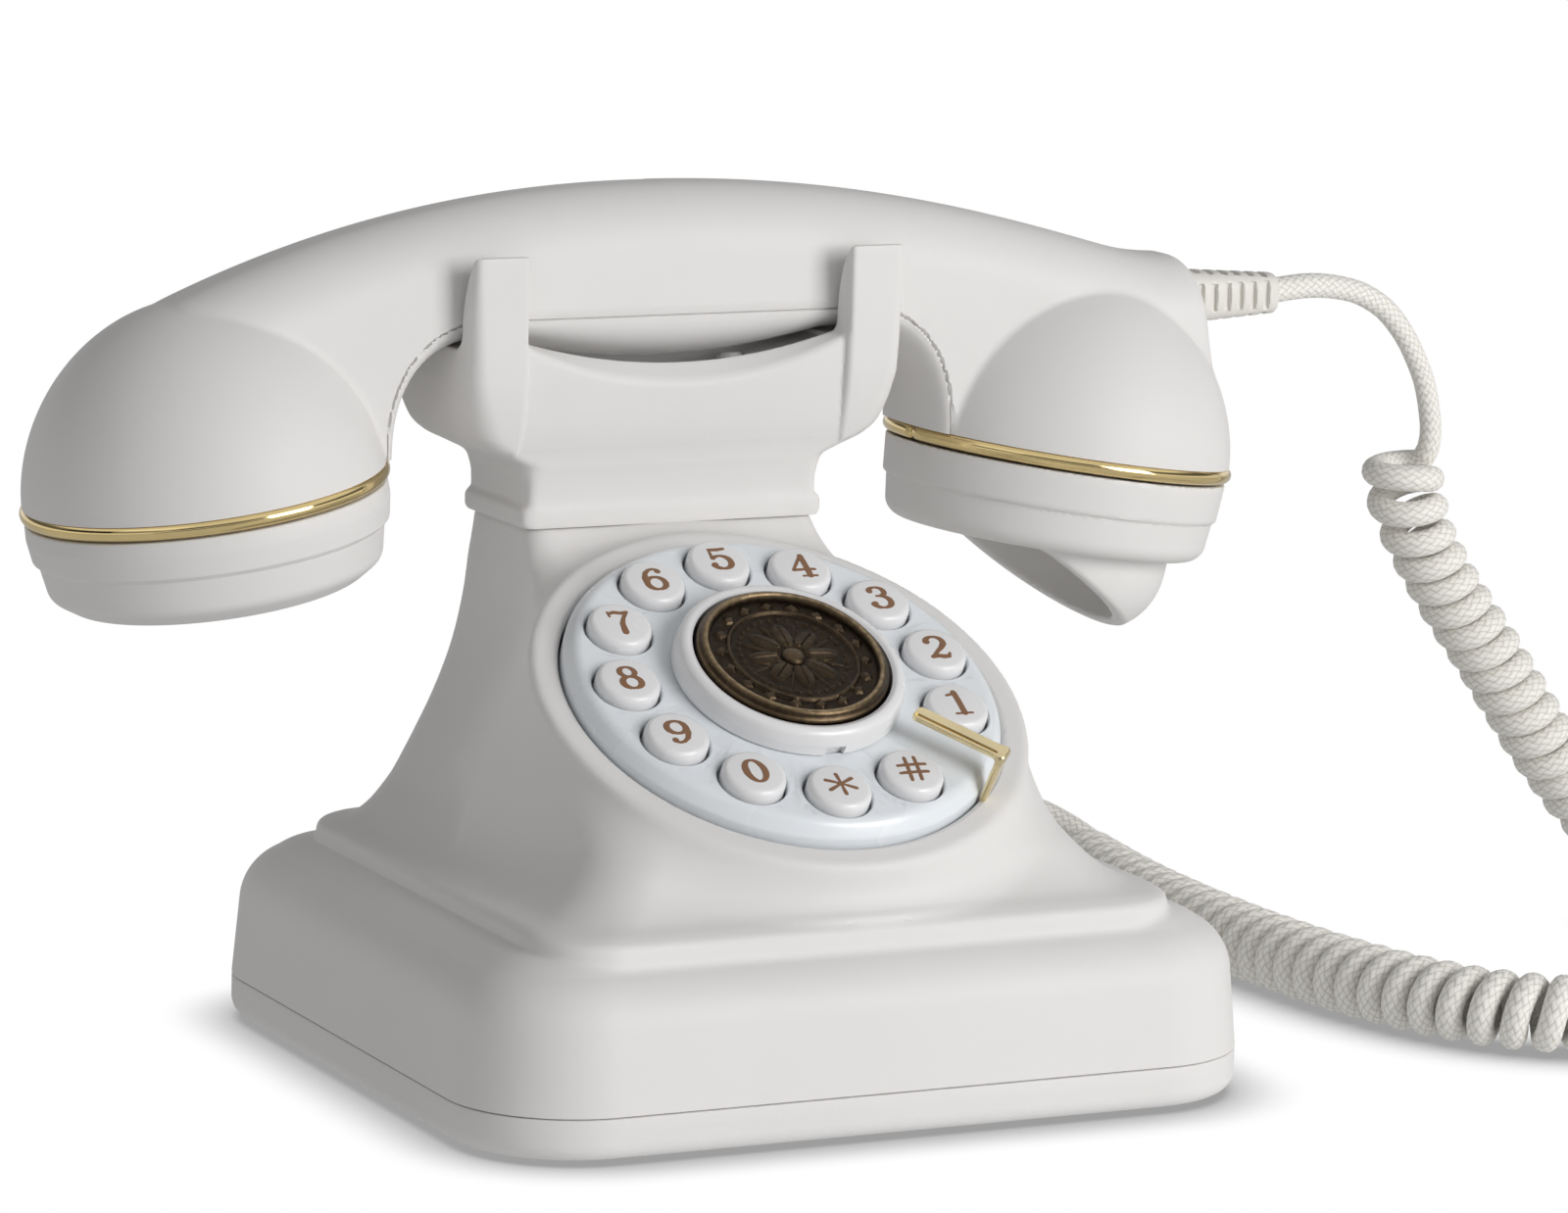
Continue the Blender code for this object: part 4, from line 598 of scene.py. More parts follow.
def make_bottom_cover():
    """The base plate, with a rounded lower edge and a small seam under the housing."""
    fillet, steps = 3.2, 8
    sections = [(fillet + 0.8, 0.8), (fillet, 0.8)]
    for k in range(1, steps + 1):
        angle = math.pi / 2 * k / steps
        sections.append((fillet - fillet * math.sin(angle), fillet + 0.8 - fillet * math.cos(angle)))
    sections += [(0.0, 6.0), (0.0, 8.0), (0.1, 8.25), (0.35, 8.35), (6.0, 8.35)]
    rings = [base_ring(inset, z) for inset, z in sections]
    put("bottom_cover", *lofted(rings), "white_plastic", "telephone", ["base_plate"])


# --- cradle
NECK = smooth_table([
    (92.0, 28.9, 13.9, 2.0), (98.0, 28.9, 14.0, 2.0), (99.6, 28.9, 14.2, 2.1), (102.0, 29.5, 14.7, 3.0),
    (104.0, 31.0, 15.4, 5.0), (105.8, 34.4, 16.0, 5.2), (107.8, 38.4, 16.8, 5.2), (110.0, 40.6, 17.6, 5.0),
    (113.0, 41.7, 18.5, 4.6), (116.0, 42.3, 19.2, 4.0), (120.5, 42.7, 19.9, 3.0), (130.0, 42.7, 20.2, 2.2),
    (143.1, 42.4, 20.2, 1.3)])
CHANNEL = smooth_table([(100.0, 14.3), (130.0, 14.3), (134.5, 14.9), (137.5, 15.8), (140.5, 17.3),
                        (143.1, 19.3), (146.0, 21.5)])
PRONG_X, PRONG_TOP = 31.6, 143.1
TROUGH_MIDDLE, TROUGH_SEAT = 118.7, 125.1
RIM_INNER, RIM_OUTER = (122.5, 4.6), (119.5, 7.2)


def trough_floor(x):
    """Height of the trough under the handset: lowest in the middle, level beyond the prongs."""
    share = np.minimum(np.abs(x) / PRONG_X, 1.0) ** 2
    return np.where(np.abs(x) > PRONG_X, TROUGH_SEAT + 0.7,
                    TROUGH_MIDDLE + (TROUGH_SEAT - TROUGH_MIDDLE) * share)


def cradle_field(x, y, z):
    """Neck with a bead at its foot, and two pairs of prongs round a dished trough."""
    y = y - CRADLE_Y
    half, depth, corner = NECK(z)
    steep = NECK(z + 0.1)[0] - half
    form = rect_field(x, y, half, -depth, depth, corner) / np.sqrt(1 + (steep * 10) ** 2)
    form = cut(form, z - PRONG_TOP, 0.5)
    bead = cut(rect_field(x, y, 30.1, -14.9, 14.9, 3.2), np.abs(z - 94.6) - 2.2, 1.6)
    form = join(form, bead, 0.6)
    channel = cut(np.abs(y) - CHANNEL(z)[0], trough_floor(x) - z, 3.5)
    form = cut(form, -channel, 0.6)
    inner, outer = (low + rise * (x / PRONG_X) ** 2 for low, rise in (RIM_INNER, RIM_OUTER))
    rim = inner - (inner - outer) * np.clip((np.abs(y) - 14.6) / 3.4, 0.0, 1.3)
    gap = cut(np.abs(x) - PRONG_X, (rim - z) * 0.85, 0.8)
    form = cut(form, -gap, 0.9)
    share = np.clip((z - 100.0) / 20.0, 0.0, 1.0)
    face = depth - 1.7 * share * share * (3 - 2 * share) + 0.3
    recess = np.maximum(np.abs(x) - PRONG_X, face - np.abs(y))
    form = cut(form, -recess, 1.1)
    shaft = np.maximum(np.maximum(np.abs(x) - 23.0, np.abs(y) - 5.0), np.abs(z - 99.0) - 8.0)
    pins = np.hypot(np.abs(x) - 17.0, y) - 2.8
    return np.maximum(form, -np.minimum(shaft, np.maximum(pins, 99.0 - z)))


def make_cradle():
    points, faces = solid(cradle_field, (-44.2, 18.6, 90.9), (44.2, 62.0, 144.6), 0.45)
    points, faces = level_cut(points, faces, 92.75)
    put("cradle_fork", points, faces, "white_plastic", "telephone", ["cradle"])


# --- handset
def handle_top(x):
    """Height of the handle's back: an arch that runs out level at the cord's end."""
    arch_left = 153.7 - 18.4 * (np.abs(x) / 91.4) ** 2.15
    arch = 153.7 - 17.2 * (x / 99.8) ** 2
    right = 0.5 * (arch + 136.7 + np.sqrt((arch - 136.7) ** 2 + 2.2 ** 2))
    return np.where(x < 0, arch_left, right)


RING_SEAT, PARTING = 1.3, -1.5
DOME_RADIUS, DOME_HEIGHT, DOME_POWER = 32.7, 34.6, 1.9
END = smooth_table([(88.0, 115.4), (96.0, 115.1), (104.0, 114.4), (114.0, 113.0), (122.0, 111.6),
                    (134.0, 110.0), (140.0, 109.4)])


def under_field(x, z):
    """Distance from the line where the lower shell begins; negative on the lower shell's side."""
    out = np.maximum(np.abs(x) - 36.0, 0) / 20.5
    up = np.maximum(z - 107.0, 0) / 23.8
    return ((out ** 2.3 + up ** 2.3) ** (1 / 2.3) - 1) * 22.0


def upper_field(x, y, z):
    """The upper shell: handle, domes over both cups and the flat end that the cord leaves."""
    across = np.abs(y - CRADLE_Y)
    slope = (handle_top(x + 0.1) - handle_top(x - 0.1)) / 0.2
    side = across + 0.012 * np.clip(z - 128.0, 0, 30) ** 1.4 - 13.75
    handle = cut(side, (z - handle_top(x)) / np.sqrt(1 + slope ** 2), 11.5)
    handle = cut(handle, (x - END(z)[0]) * 0.99, 3.6)
    handle = cut(handle, -95.0 - x, 3.0)
    u, v, h = cup_coords(x, y, z)
    dome = (np.hypot(u, v) / DOME_RADIUS) ** DOME_POWER + (np.abs(h) / DOME_HEIGHT) ** DOME_POWER
    form = join(handle, (dome ** (1 / DOME_POWER) - 1) * 33.0, 0.5)
    form = np.maximum(form, PARTING - h)
    under = np.maximum(under_field(x, z), across - 14.5)
    return np.maximum(form, -under)


def lower_field(x, y, z):
    """The lower shell: the handle's rounded belly, deepest in the middle."""
    depth_in = -under_field(x, z)
    share = np.minimum(np.abs(x) / PRONG_X, 1.0) ** 2
    run = np.clip((130.8 - z) / 30.2, 0.0, 1.0)
    depth = np.where(np.abs(x) < 36.6, 8.3 - 3.8 * share, 4.5 - 1.1 * run)
    form = (np.hypot((y - CRADLE_Y) / 13.6, depth_in / depth) - 1) * depth
    u, v, h = cup_coords(x, y, z)
    return np.maximum(np.maximum(form, -depth_in), PARTING - h)


def ring_cut(points, faces):
    """Trims a shell at the seats of both rings."""
    for side in (-1, 1):
        place = cup_place(side)(np.array([(0.0, 0.0, RING_SEAT), (0.0, 0.0, RING_SEAT + 1.0)]))
        points, faces = level_cut(points, faces, place[0], tuple(place[1] - place[0]), side)
    return points, faces


def make_shell(name, node, field, low, high, cell):
    points, faces = ring_cut(*solid(field, low, high, cell))
    put(name, points, faces, "white_plastic", "handset", [node])


def make_ring(name, side, nodes, split=None):
    """A polished ring; a split ring has two rounded ends that nearly meet."""
    around, sides, wire, radius = 144, 20, 1.4, 31.85
    start = 0 if split is None else split
    gap = 0 if split is None else 0.10 / radius
    rows = [(start + gap + (2 * math.pi - 2 * gap) * k / around, wire)
            for k in range(around + (split is not None))]
    count = len(rows)
    if split is not None:
        ends = [(0.0, 0.45), (0.25, 0.75), (0.6, 0.92)]
        rows[:1] = [(rows[0][0] + along / radius, wire * share) for along, share in ends]
        rows[-1:] = [(rows[-1][0] - along / radius, wire * share) for along, share in reversed(ends)]
    rings = []
    for angle, size in rows:
        ring = []
        for j in range(sides):
            turn = 2 * math.pi * j / sides
            r = radius + size * math.cos(turn)
            ring.append((r * math.cos(angle), r * math.sin(angle), size * math.sin(turn)))
        rings.append(cup_place(side)(np.array(ring)))
    if split is None:
        points, faces = lofted(rings, caps=False)
        last = (count - 1) * sides
        faces += [(last + j, last + (j + 1) % sides, (j + 1) % sides, j) for j in range(sides)]
    else:
        points, faces = lofted(rings)
    put(name, points, faces, "polished_gold", "handset", nodes)


EAR_DEPTH = 18.8


def drill(piece, profile, segments, places, place):
    """Cuts the same turned form out of a piece at several places."""
    points, faces = [], []
    for u, v in places:
        some, quads = turned(profile, segments, lambda p: p + np.array((u, v, 0)))
        base = sum(len(p) for p in points)
        points.append(some)
        faces += [[k + base for k in quad] for quad in quads]
    cut_away(piece, put("drill", place(np.vstack(points)), faces, "white_plastic", None))


def make_ear_cap():
    """A stepped cap with seven sound holes."""
    profile = rounded([(0, -EAR_DEPTH, 0), (25.8, -EAR_DEPTH + 0.5, 4.0), (30.0, -EAR_DEPTH + 3.4, 3.0),
                       (31.1, -9.3, 0.4), (32.1, -8.5, 0.5), (32.7, -4.6, 3.0), (32.6, -1.7, 0.4),
                       (30.6, -1.7, 0), (30.6, 1.0, 0), (0, 1.0, 0)])
    points, faces = turned(profile, 128, cup_place(-1))
    cap = put("ear_cover", points, faces, "white_plastic", "handset", ["ear_cap"])
    circle, hole, face = 8.5, 1.1, -EAR_DEPTH
    holes = [(0.0, 0.0)] + [(circle * math.cos(math.radians(60 * k)), circle * math.sin(math.radians(60 * k)))
                            for k in range(6)]
    bore = [(0, face - 2), (hole + 0.3, face - 2), (hole + 0.3, face - 0.1), (hole, face + 0.3),
            (hole, face + 2.5), (0, face + 2.5)]
    drill(cap, bore, 20, holes, cup_place(-1))


HOOD_START, HOOD_SLOPE = -9.8, math.tan(math.radians(30.0))
HOOD_RADIUS, HOOD_DROP, HOOD_POWER, HOOD_WALL = 24.0, 17.6, 2.6, 2.1
MOUTH_FACE = -17.0


def mouth_field(u, v, h):
    """A stepped cap with three sound holes, and half a bowl below it that guards the mouthpiece."""
    r = np.hypot(u, v)
    upper = cut(cut(r - 32.4 - 0.08 * (h + 1.7), np.abs(h + 5.4) - 3.7, 0.5), h + 1.7, 0.3)
    side = r - (31.1 + 0.12 * (h + 9.3))
    lower = np.maximum(cut(side, MOUTH_FACE - h, 3.0), h + 5.0)
    cap = join(upper, lower, 0.3)
    drop = np.maximum(MOUTH_FACE - h, 0)
    shape = ((r / HOOD_RADIUS) ** HOOD_POWER + (drop / HOOD_DROP) ** HOOD_POWER) ** (1 / HOOD_POWER)
    outer = np.where(h > MOUTH_FACE, r - HOOD_RADIUS, (shape - 1) * 18.5)
    hood = np.maximum(outer, -(outer + HOOD_WALL))
    plane = (-17.8 - HOOD_SLOPE * (u - HOOD_START) - h) * 0.866
    hood = cut(hood, plane, 0.9)
    hood = np.maximum(hood, h + 16.5)
    form = join(cap, hood, 1.2)
    for k in (-1, 0, 1):
        form = np.maximum(form, -np.maximum(np.hypot(u, v - 3.0 * k) - 1.0, h + 15.0))
    return form


def make_mouth_cap():
    points, faces = solid(mouth_field, (-34.2, -34.2, -36.2), (34.2, 34.2, -0.6), 0.62)
    put("mouth_cover", cup_place(1)(points), faces, "white_plastic", "handset", ["mouth_cap"])


# --- dial
def key_centre(index):
    """Where a button stands in the dial's frame."""
    angle = KEY_FIRST + KEY_STEP * index
    return KEY_CIRCLE * math.cos(angle), KEY_CIRCLE * math.sin(angle)


def make_dial():
    """The dial plate, with a stepped hole for each button."""
    profile = rounded([(20.2, -2.2, 0), (20.2, 0.0, 0.2), (37.9, 0.0, 2.4), (39.8, -2.6, 1.2),
                       (39.8, -6.7, 0.3), (38.1, -6.7, 0), (38.1, -2.2, 0)])
    points, faces = turned(profile, 192, dial_place, closed=True)
    plate = put("dial_face", points, faces, "dial_plastic", "telephone", ["dial_plate"])
    hole = rounded([(0, -3.5, 0), (6.3, -3.5, 0), (6.3, 0.0, 0.45), (7.6, 0.0, 0), (7.6, 0.6, 0),
                    (0, 0.6, 0)])
    drill(plate, hole, 64, [key_centre(index) for index in range(len(KEY_NAMES))], dial_place)


def make_centre_ring():
    """The raised ring round the middle button, with a small notch at its foot."""
    profile = rounded([(18.15, -3.0, 0), (19.8, -3.0, 0), (19.8, 0.2, 0), (21.0, 0.2, 0.2), (20.95, 2.2, 2.0),
                       (20.4, 4.9, 1.6), (18.9, 5.05, 1.0), (18.15, 4.7, 0.4)])
    points, faces = turned(profile, 160, dial_place, closed=True)
    ring = put("dial_ring", points, faces, "button_plastic", "telephone", ["centre_ring"])
    angle = math.radians(-88.0)
    block = []
    for radius in (19.7, 22.6):
        for side, height in ((-2.0, 0.1), (1.8, 0.1), (2.1, 1.9), (-1.7, 1.9)):
            block.append((radius * math.cos(angle) - side * math.sin(angle),
                          radius * math.sin(angle) + side * math.cos(angle), height + 0.05))
    faces = [(0, 1, 2, 3), (7, 6, 5, 4), (0, 4, 5, 1), (1, 5, 6, 2), (2, 6, 7, 3), (3, 7, 4, 0)]
    cut_away(ring, put("notch", dial_place(np.array(block)), faces, "dark_plastic", None))


def medallion_height(r, angle):
    """A plain rosette in a beaded band: petals, a boss and a ring of lozenges."""
    def ridge(centre, width):
        return np.clip(1 - ((r - centre) / width) ** 2, 0, 1) ** 0.6
    height = 5.15 + 1.25 * ridge(16.0, 0.75) + 0.55 * ridge(11.8, 0.45)
    petal = np.abs(np.cos(4 * angle))
    reach = 8.6 * (0.45 + 0.55 * petal ** 0.7)
    leaf = np.clip(1 - (r / reach) ** 3, 0, 1) ** 0.5 * np.clip((r - 2.4) / 0.8, 0, 1)
    thin = np.abs(np.sin(4 * angle))
    rib = np.clip(1 - thin * r / 1.1, 0, 1) * (r < 7.8) * (r > 2.8)
    height = height + 0.55 * leaf * (0.6 + 0.4 * petal) - 0.22 * rib * (leaf > 0.2)
    point = np.clip(1 - ((r - 6.8) / 2.6) ** 2 - (petal * r / 1.3) ** 2, 0, 1) * (thin > 0.7)
    height = height + 0.35 * point ** 0.6
    height = height + 0.9 * np.clip(1 - (r / 2.2) ** 2, 0, 1) ** 0.5
    across = (angle * 18 / (2 * math.pi)) % 1 - 0.5
    lozenge = np.clip(1.15 - np.abs(across) * 3.6 - np.abs(r - 13.3) / 1.15, 0, 1)
    bead = np.clip(1 - ((r - 9.9) / 0.42) ** 2 - (((angle * 36 / (2 * math.pi)) % 1 - 0.5) * 3.4) ** 2, 0, 1)
    return height + 0.55 * np.clip(lozenge * 1.8, 0, 1) ** 0.7 + 0.3 * bead ** 0.5


def make_redial():
    """The middle button: a bronze medallion in relief, with a rim and a smooth side."""
    around = 288
    radii = np.concatenate((np.linspace(0.25, 16.0, 96), [16.25]))
    angles = 2 * math.pi * np.arange(around) / around
    points, wear = [], []
    for r in radii:
        h = medallion_height(np.full(around, r), angles)
        points.append(np.column_stack((r * np.cos(angles), r * np.sin(angles), h)))
        wear.append(np.clip((h - 5.0) / 1.6, 0, 1))
    for r, h, worn in ((16.6, 6.2, 0.6), (16.85, 5.75, 0.35), (17.0, 5.35, 0.3), (17.3, 5.2, 0.6),
                       (17.5, 4.95, 0.5), (17.6, 4.3, 0.2), (17.6, -1.0, 0.1), (17.6, -3.4, 0.0)):
        points.append(np.column_stack((r * np.cos(angles), r * np.sin(angles), np.full(around, h))))
        wear.append(np.full(around, worn))
    cloud, faces = lofted(points, caps=True)
    piece = put("medallion", dial_place(cloud), faces, "antique_bronze", "redial", ["redial_button"],
                crease=60.0)
    attribute = piece.data.attributes.new("relief", "FLOAT", "POINT")
    attribute.data.foreach_set("value", np.concatenate(wear).astype(np.float32))


def crown(r):
    """Top of a button at a distance from its middle."""
    return 2.25 - 0.35 * (r / 5.8) ** 2


def make_keys():
    """Twelve domed buttons, each with its raised numeral."""
    flange, radius, steps = 7.0, 5.8, 8
    profile = [(0, -4.6), (flange, -4.6), (flange, -2.9), (radius, -2.9), (radius, 0.6)]
    for k in range(1, steps + 1):
        angle = math.pi / 2 * k / steps
        r = radius - 1.1 * (1 - math.cos(angle))
        profile.append((r, crown(4.7) - 1.3 + 1.3 * math.sin(angle)))
    profile += [(r, crown(r)) for r in (4.2, 3.4, 2.5, 1.5, 0.6)] + [(0, crown(0))]
    for index, name in enumerate(KEY_NAMES):
        cx, cy = key_centre(index)
        shift = np.array((cx, cy, 0))
        points, faces = turned(profile, 56, lambda p: dial_place(p + shift))
        put("key_" + name, points, faces, "button_plastic", "key_" + name, ["button_" + name])
        points, faces = solid(number_field(name), (-3.3, -3.5, 1.5), (3.3, 3.5, 2.6), 0.13, 1)
        put("number_" + name, dial_place(points + shift), faces, "button_plastic", "key_" + name,
            look="number_ink")


def arc(cx, cy, rx, ry, first, last, thin, thick, steps=14):
    """Part of an ellipse whose stroke is thin above and below and thick at its sides."""
    row = []
    for k in range(steps + 1):
        angle = math.radians(first + (last - first) * k / steps)
        weight = abs(math.cos(angle)) ** 1.3
        row.append((cx + rx * math.cos(angle), cy + ry * math.sin(angle), thin + (thick - thin) * weight))
    return row


# Each numeral is a list of strokes; a stroke's points give x, y and half its width.
NINE_TURNED = [arc(0.0, -0.95, 1.25, 1.38, 0, 360, 0.20, 0.42),
               [(-1.24, -0.8, 0.42), (-1.22, 0.3, 0.40), (-0.85, 1.45, 0.32), (-0.2, 2.15, 0.24),
                (0.45, 2.33, 0.2), (0.95, 2.0, 0.28)], [(0.92, 1.75, 0.42), (0.93, 1.74, 0.42)]]
STROKES = {
    "1": [[(0.15, -2.3, 0.42), (0.15, 2.3, 0.42)], [(0.2, 2.35, 0.22), (-0.35, 1.9, 0.22), (-1.0, 1.75, 0.2)],
          [(-0.95, -2.35, 0.2), (1.2, -2.35, 0.2)]],
    "2": [[(-1.05, 1.25, 0.46), (-1.04, 1.26, 0.46)], arc(0.05, 1.1, 1.15, 1.22, 165, -20, 0.22, 0.42),
          [(1.15, 0.7, 0.42), (0.6, -0.2, 0.34), (-0.3, -1.1, 0.26), (-1.15, -2.1, 0.24)],
          [(-1.2, -2.1, 0.3), (-0.5, -1.95, 0.34), (0.3, -2.2, 0.36), (1.0, -2.2, 0.3), (1.35, -1.5, 0.18)]],
    "3": [[(-0.95, 1.5, 0.42), (-0.94, 1.51, 0.42)], arc(-0.05, 1.3, 1.02, 1.05, 160, -75, 0.2, 0.40),
          [(-0.35, 0.27, 0.19), (0.2, 0.27, 0.19)], arc(-0.05, -1.05, 1.28, 1.3, 80, -160, 0.2, 0.44),
          [(-1.1, -1.4, 0.44), (-1.09, -1.39, 0.44)]],
    "4": [[(0.6, 2.35, 0.24), (-1.35, -0.85, 0.2)], [(-1.4, -0.95, 0.21), (1.6, -0.95, 0.21)],
          [(0.55, 2.2, 0.40), (0.55, -2.3, 0.42)], [(-0.4, -2.36, 0.19), (1.5, -2.36, 0.19)]],
    "5": [[(-0.85, 2.2, 0.26), (0.1, 2.1, 0.3), (1.15, 2.3, 0.24)], [(-0.9, 2.3, 0.19), (-1.0, 0.25, 0.19)],
          arc(0.0, -0.8, 1.3, 1.45, 135, -155, 0.2, 0.44), [(-1.05, -1.3, 0.44), (-1.04, -1.29, 0.44)]],
    "6": NINE_TURNED,
    "7": [[(-1.1, 2.0, 0.24), (-0.4, 2.25, 0.32), (0.5, 1.95, 0.32), (1.35, 2.2, 0.24)],
          [(-1.2, 2.35, 0.17), (-1.2, 1.35, 0.17)],
          [(1.3, 2.1, 0.22), (0.5, 0.8, 0.26), (0.0, -0.5, 0.36), (-0.1, -2.2, 0.46)]],
    "8": [arc(0, 1.22, 0.98, 1.1, 0, 360, 0.2, 0.38, 24), arc(0, -1.1, 1.22, 1.25, 0, 360, 0.2, 0.44, 24)],
    "9": [[(-x, -y, w) for x, y, w in row] for row in NINE_TURNED],
    "0": [arc(0, 0, 1.22, 2.3, 0, 360, 0.2, 0.46, 30)],
    "star": [[(0, 0, 0.16), (1.45 * math.cos(math.radians(a)), 1.45 * math.sin(math.radians(a)), 0.28)]
             for a in (90, 150, 210, 270, 330, 30)],
    "hash": [[(-0.75, -1.9, 0.25), (-0.35, 1.9, 0.25)], [(0.35, -1.9, 0.25), (0.75, 1.9, 0.25)],
             [(-1.5, 0.65, 0.24), (1.6, 0.65, 0.24)], [(-1.6, -0.65, 0.24), (1.5, -0.65, 0.24)]],
}


def number_field(name):
    """A thin raised numeral that follows the button's crown."""
    segments = []
    wide, tall = {"star": (1.95, 1.75), "hash": (1.7, 1.5)}.get(name, (1.42, 1.2))
    for row in STROKES[name]:
        row = [(wide * x, tall * y, 1.45 * w) for x, y, w in row]
        segments += list(zip(row, row[1:]))

    def field(x, y, h):
        shape = np.full(np.shape(x), 9.0)
        for (ax, ay, aw), (bx, by, bw) in segments:
            dx, dy = bx - ax, by - ay
            t = np.clip(((x - ax) * dx + (y - ay) * dy) / (dx * dx + dy * dy), 0, 1)
            shape = np.minimum(shape, np.hypot(x - ax - t * dx, y - ay - t * dy) - (aw + t * (bw - aw)))
        return cut(shape, np.abs(h - crown(np.hypot(x, y))) - 0.09, 0.03)
    return field


def stop_field(x, y, h):
    """A bent strip along x in its own frame: an arm over the dial and a tapered leg outside it."""
    low = np.clip(5.0 - h, 0, 11) / 10.0
    width = 0.5 + 1.95 * np.clip((h + 5.0) / 9.5, 0, 1) ** 0.85
    ends = cut(np.abs(x - 32.9) - 9.0, np.abs(y) - 1.8, 1.0)
    arm = cut(np.abs(h - 5.6) - 0.55, ends, 0.35)
    blade = cut(np.abs(y + 1.9 * low) - width, np.abs(h - 0.5) - 5.6, 1.5)
    leg = cut(np.abs(x - 41.3 + 0.6 * low) - 0.6, blade, 0.3)
    form = join(arm, leg, 0.8)
    groove = np.maximum(np.maximum(np.abs(y + 0.85) - 0.24, 5.3 - h), np.abs(x - 32.4) - 8.0)
    return np.maximum(form, -groove)


def make_stop():
    points, faces = solid(stop_field, (22.6, -4.4, -6.0), (43.4, 3.6, 7.0), 0.2, 1)
    c, s = math.cos(STOP_ANGLE), math.sin(STOP_ANGLE)
    x, y, h = points.T
    points = dial_place(np.column_stack((c * x - s * y, s * x + c * y, h)))
    put("stop_strip", points, faces, "champagne_metal", "telephone", ["finger_stop"])


# --- cord
def relief_field(x, y, z):
    """A tapered sleeve with rows of slots on its four sides."""
    x, y, z = x - SLEEVE_X, y - CRADLE_Y, z - SLEEVE_Z
    pitch = 2.93
    size = 5.2 - 0.066 * np.clip(x, 0, 22)
    around = (np.abs(y / size) ** 2.8 + np.abs(z / size) ** 2.8) ** (1 / 2.8)
    form = cut((around - 1) * size, np.abs(x - 9.0) - 11.6, 0.6)
    lane = np.abs((x - 3.15) / pitch % 1 - 0.5) * pitch
    reach = size - 1.0
    long_y = np.maximum(np.abs(y) - 2.6, reach - np.abs(z))
    long_z = np.maximum(np.abs(z) - 2.6, reach - np.abs(y))
    slots = np.maximum(np.minimum(long_y, long_z), pitch / 2 - 0.60 - lane)
    slots = np.maximum(slots, np.abs(x - 10.5) - 8.4)
    return cut(form, -slots, 0.15)


def make_relief():
    points, faces = solid(relief_field, (106.0, 34.4, 122.8), (132.0, 46.2, 134.4), 0.3, 1)
    put("cord_sleeve", points, faces, "cord_sleeve", "handset", ["strain_relief"])


# The wire's way: out of the sleeve and down, then the middle of the coil, then up to the jack.
UPPER_ROUTE = [(120.0, 40.3, 128.6), (126.0, 40.3, 128.6), (132.6, 40.3, 129.1), (138.1, 40.3, 129.6),
               (143.3, 40.3, 129.4), (149.0, 40.3, 128.3), (153.0, 40.3, 126.6), (156.8, 40.3, 124.0),
               (160.7, 40.3, 119.5), (163.5, 40.3, 114.8), (165.9, 40.3, 109.4), (167.4, 40.3, 102.4),
               (167.8, 40.3, 97.0)]
COIL_HANGS = [(x, CRADLE_Y, z) for x, z in (
    (161.7, 93.6), (162.2, 89.0), (163.8, 84.4), (166.4, 78.8), (169.7, 73.4), (173.0, 68.4),
    (176.6, 63.5), (180.2, 58.8), (183.6, 54.2), (186.9, 49.5), (190.2, 44.9), (193.5, 40.2),
    (197.1, 35.6))]
COIL_LANDS = [(201.0, 40.4, 31.0), (205.5, 39.8, 25.5), (210.7, 38.0, 19.8), (216.7, 34.0, 14.2),
              (222.4, 26.5, 9.9), (226.0, 15.5, 7.8)]
COIL_LIES = [(x, y, 7.5) for x, y in (
    (227.2, 2.0), (224.0, -13.5), (216.5, -29.0), (205.0, -42.5), (190.0, -53.0), (173.0, -59.0),
    (157.0, -59.5), (143.0, -55.0), (132.5, -45.0), (125.5, -30.0), (121.2, -12.0), (118.9, 6.5),
    (117.9, 25.0), (118.0, 43.0), (118.9, 60.0), (120.8, 78.0), (123.5, 96.0))]
LOWER_ROUTE = [(123.9, 102.5, 13.5), (120.5, 107.5, 15.7), (114.0, 108.5, 17.3), (105.0, 105.0, 18.0),
               (95.0, 100.3, 18.2), (85.0, 97.0, 18.2), (75.0, 95.8, 18.1), (65.0, 96.8, 18.0),
               (57.0, 96.6, 18.0), (50.7, 93.0, 18.0), (48.3, 88.0, 18.0), (48.0, 82.4, 18.0),
               (48.0, 78.0, 18.0)]


def smooth_line(points, spacing):
    """Evenly spaced points on a smooth curve through a route."""
    route = np.array(points, float)
    route = np.vstack((2 * route[0] - route[1], route, 2 * route[-1] - route[-2]))
    fine = []
    for a, b, c, d in zip(route, route[1:], route[2:], route[3:]):
        t = np.arange(0, 1, 1 / 40)[:, None]
        fine.append(0.5 * (2 * b + (c - a) * t + (2 * a - 5 * b + 4 * c - d) * t * t
                           + (3 * b - a - 3 * c + d) * t ** 3))
    fine = np.vstack(fine + [route[-2][None]])
    walked = np.concatenate(([0], np.cumsum(np.linalg.norm(np.diff(fine, axis=0), axis=1))))
    count = max(2, int(round(walked[-1] / spacing)))
    at = np.linspace(0, walked[-1], count + 1)
    return np.column_stack([np.interp(at, walked, fine[:, k]) for k in range(3)])


def carried_frames(line, first):
    """Tangents and a normal carried along a line without twisting."""
    tangent = np.gradient(line, axis=0)
    tangent /= np.linalg.norm(tangent, axis=1)[:, None]
    normal = np.array(first, float)
    normals = []
    for t in tangent:
        normal = normal - t * (normal @ t)
        normal = normal / np.linalg.norm(normal)
        normals.append(normal)
    normals = np.array(normals)
    return tangent, normals, np.cross(tangent, normals)


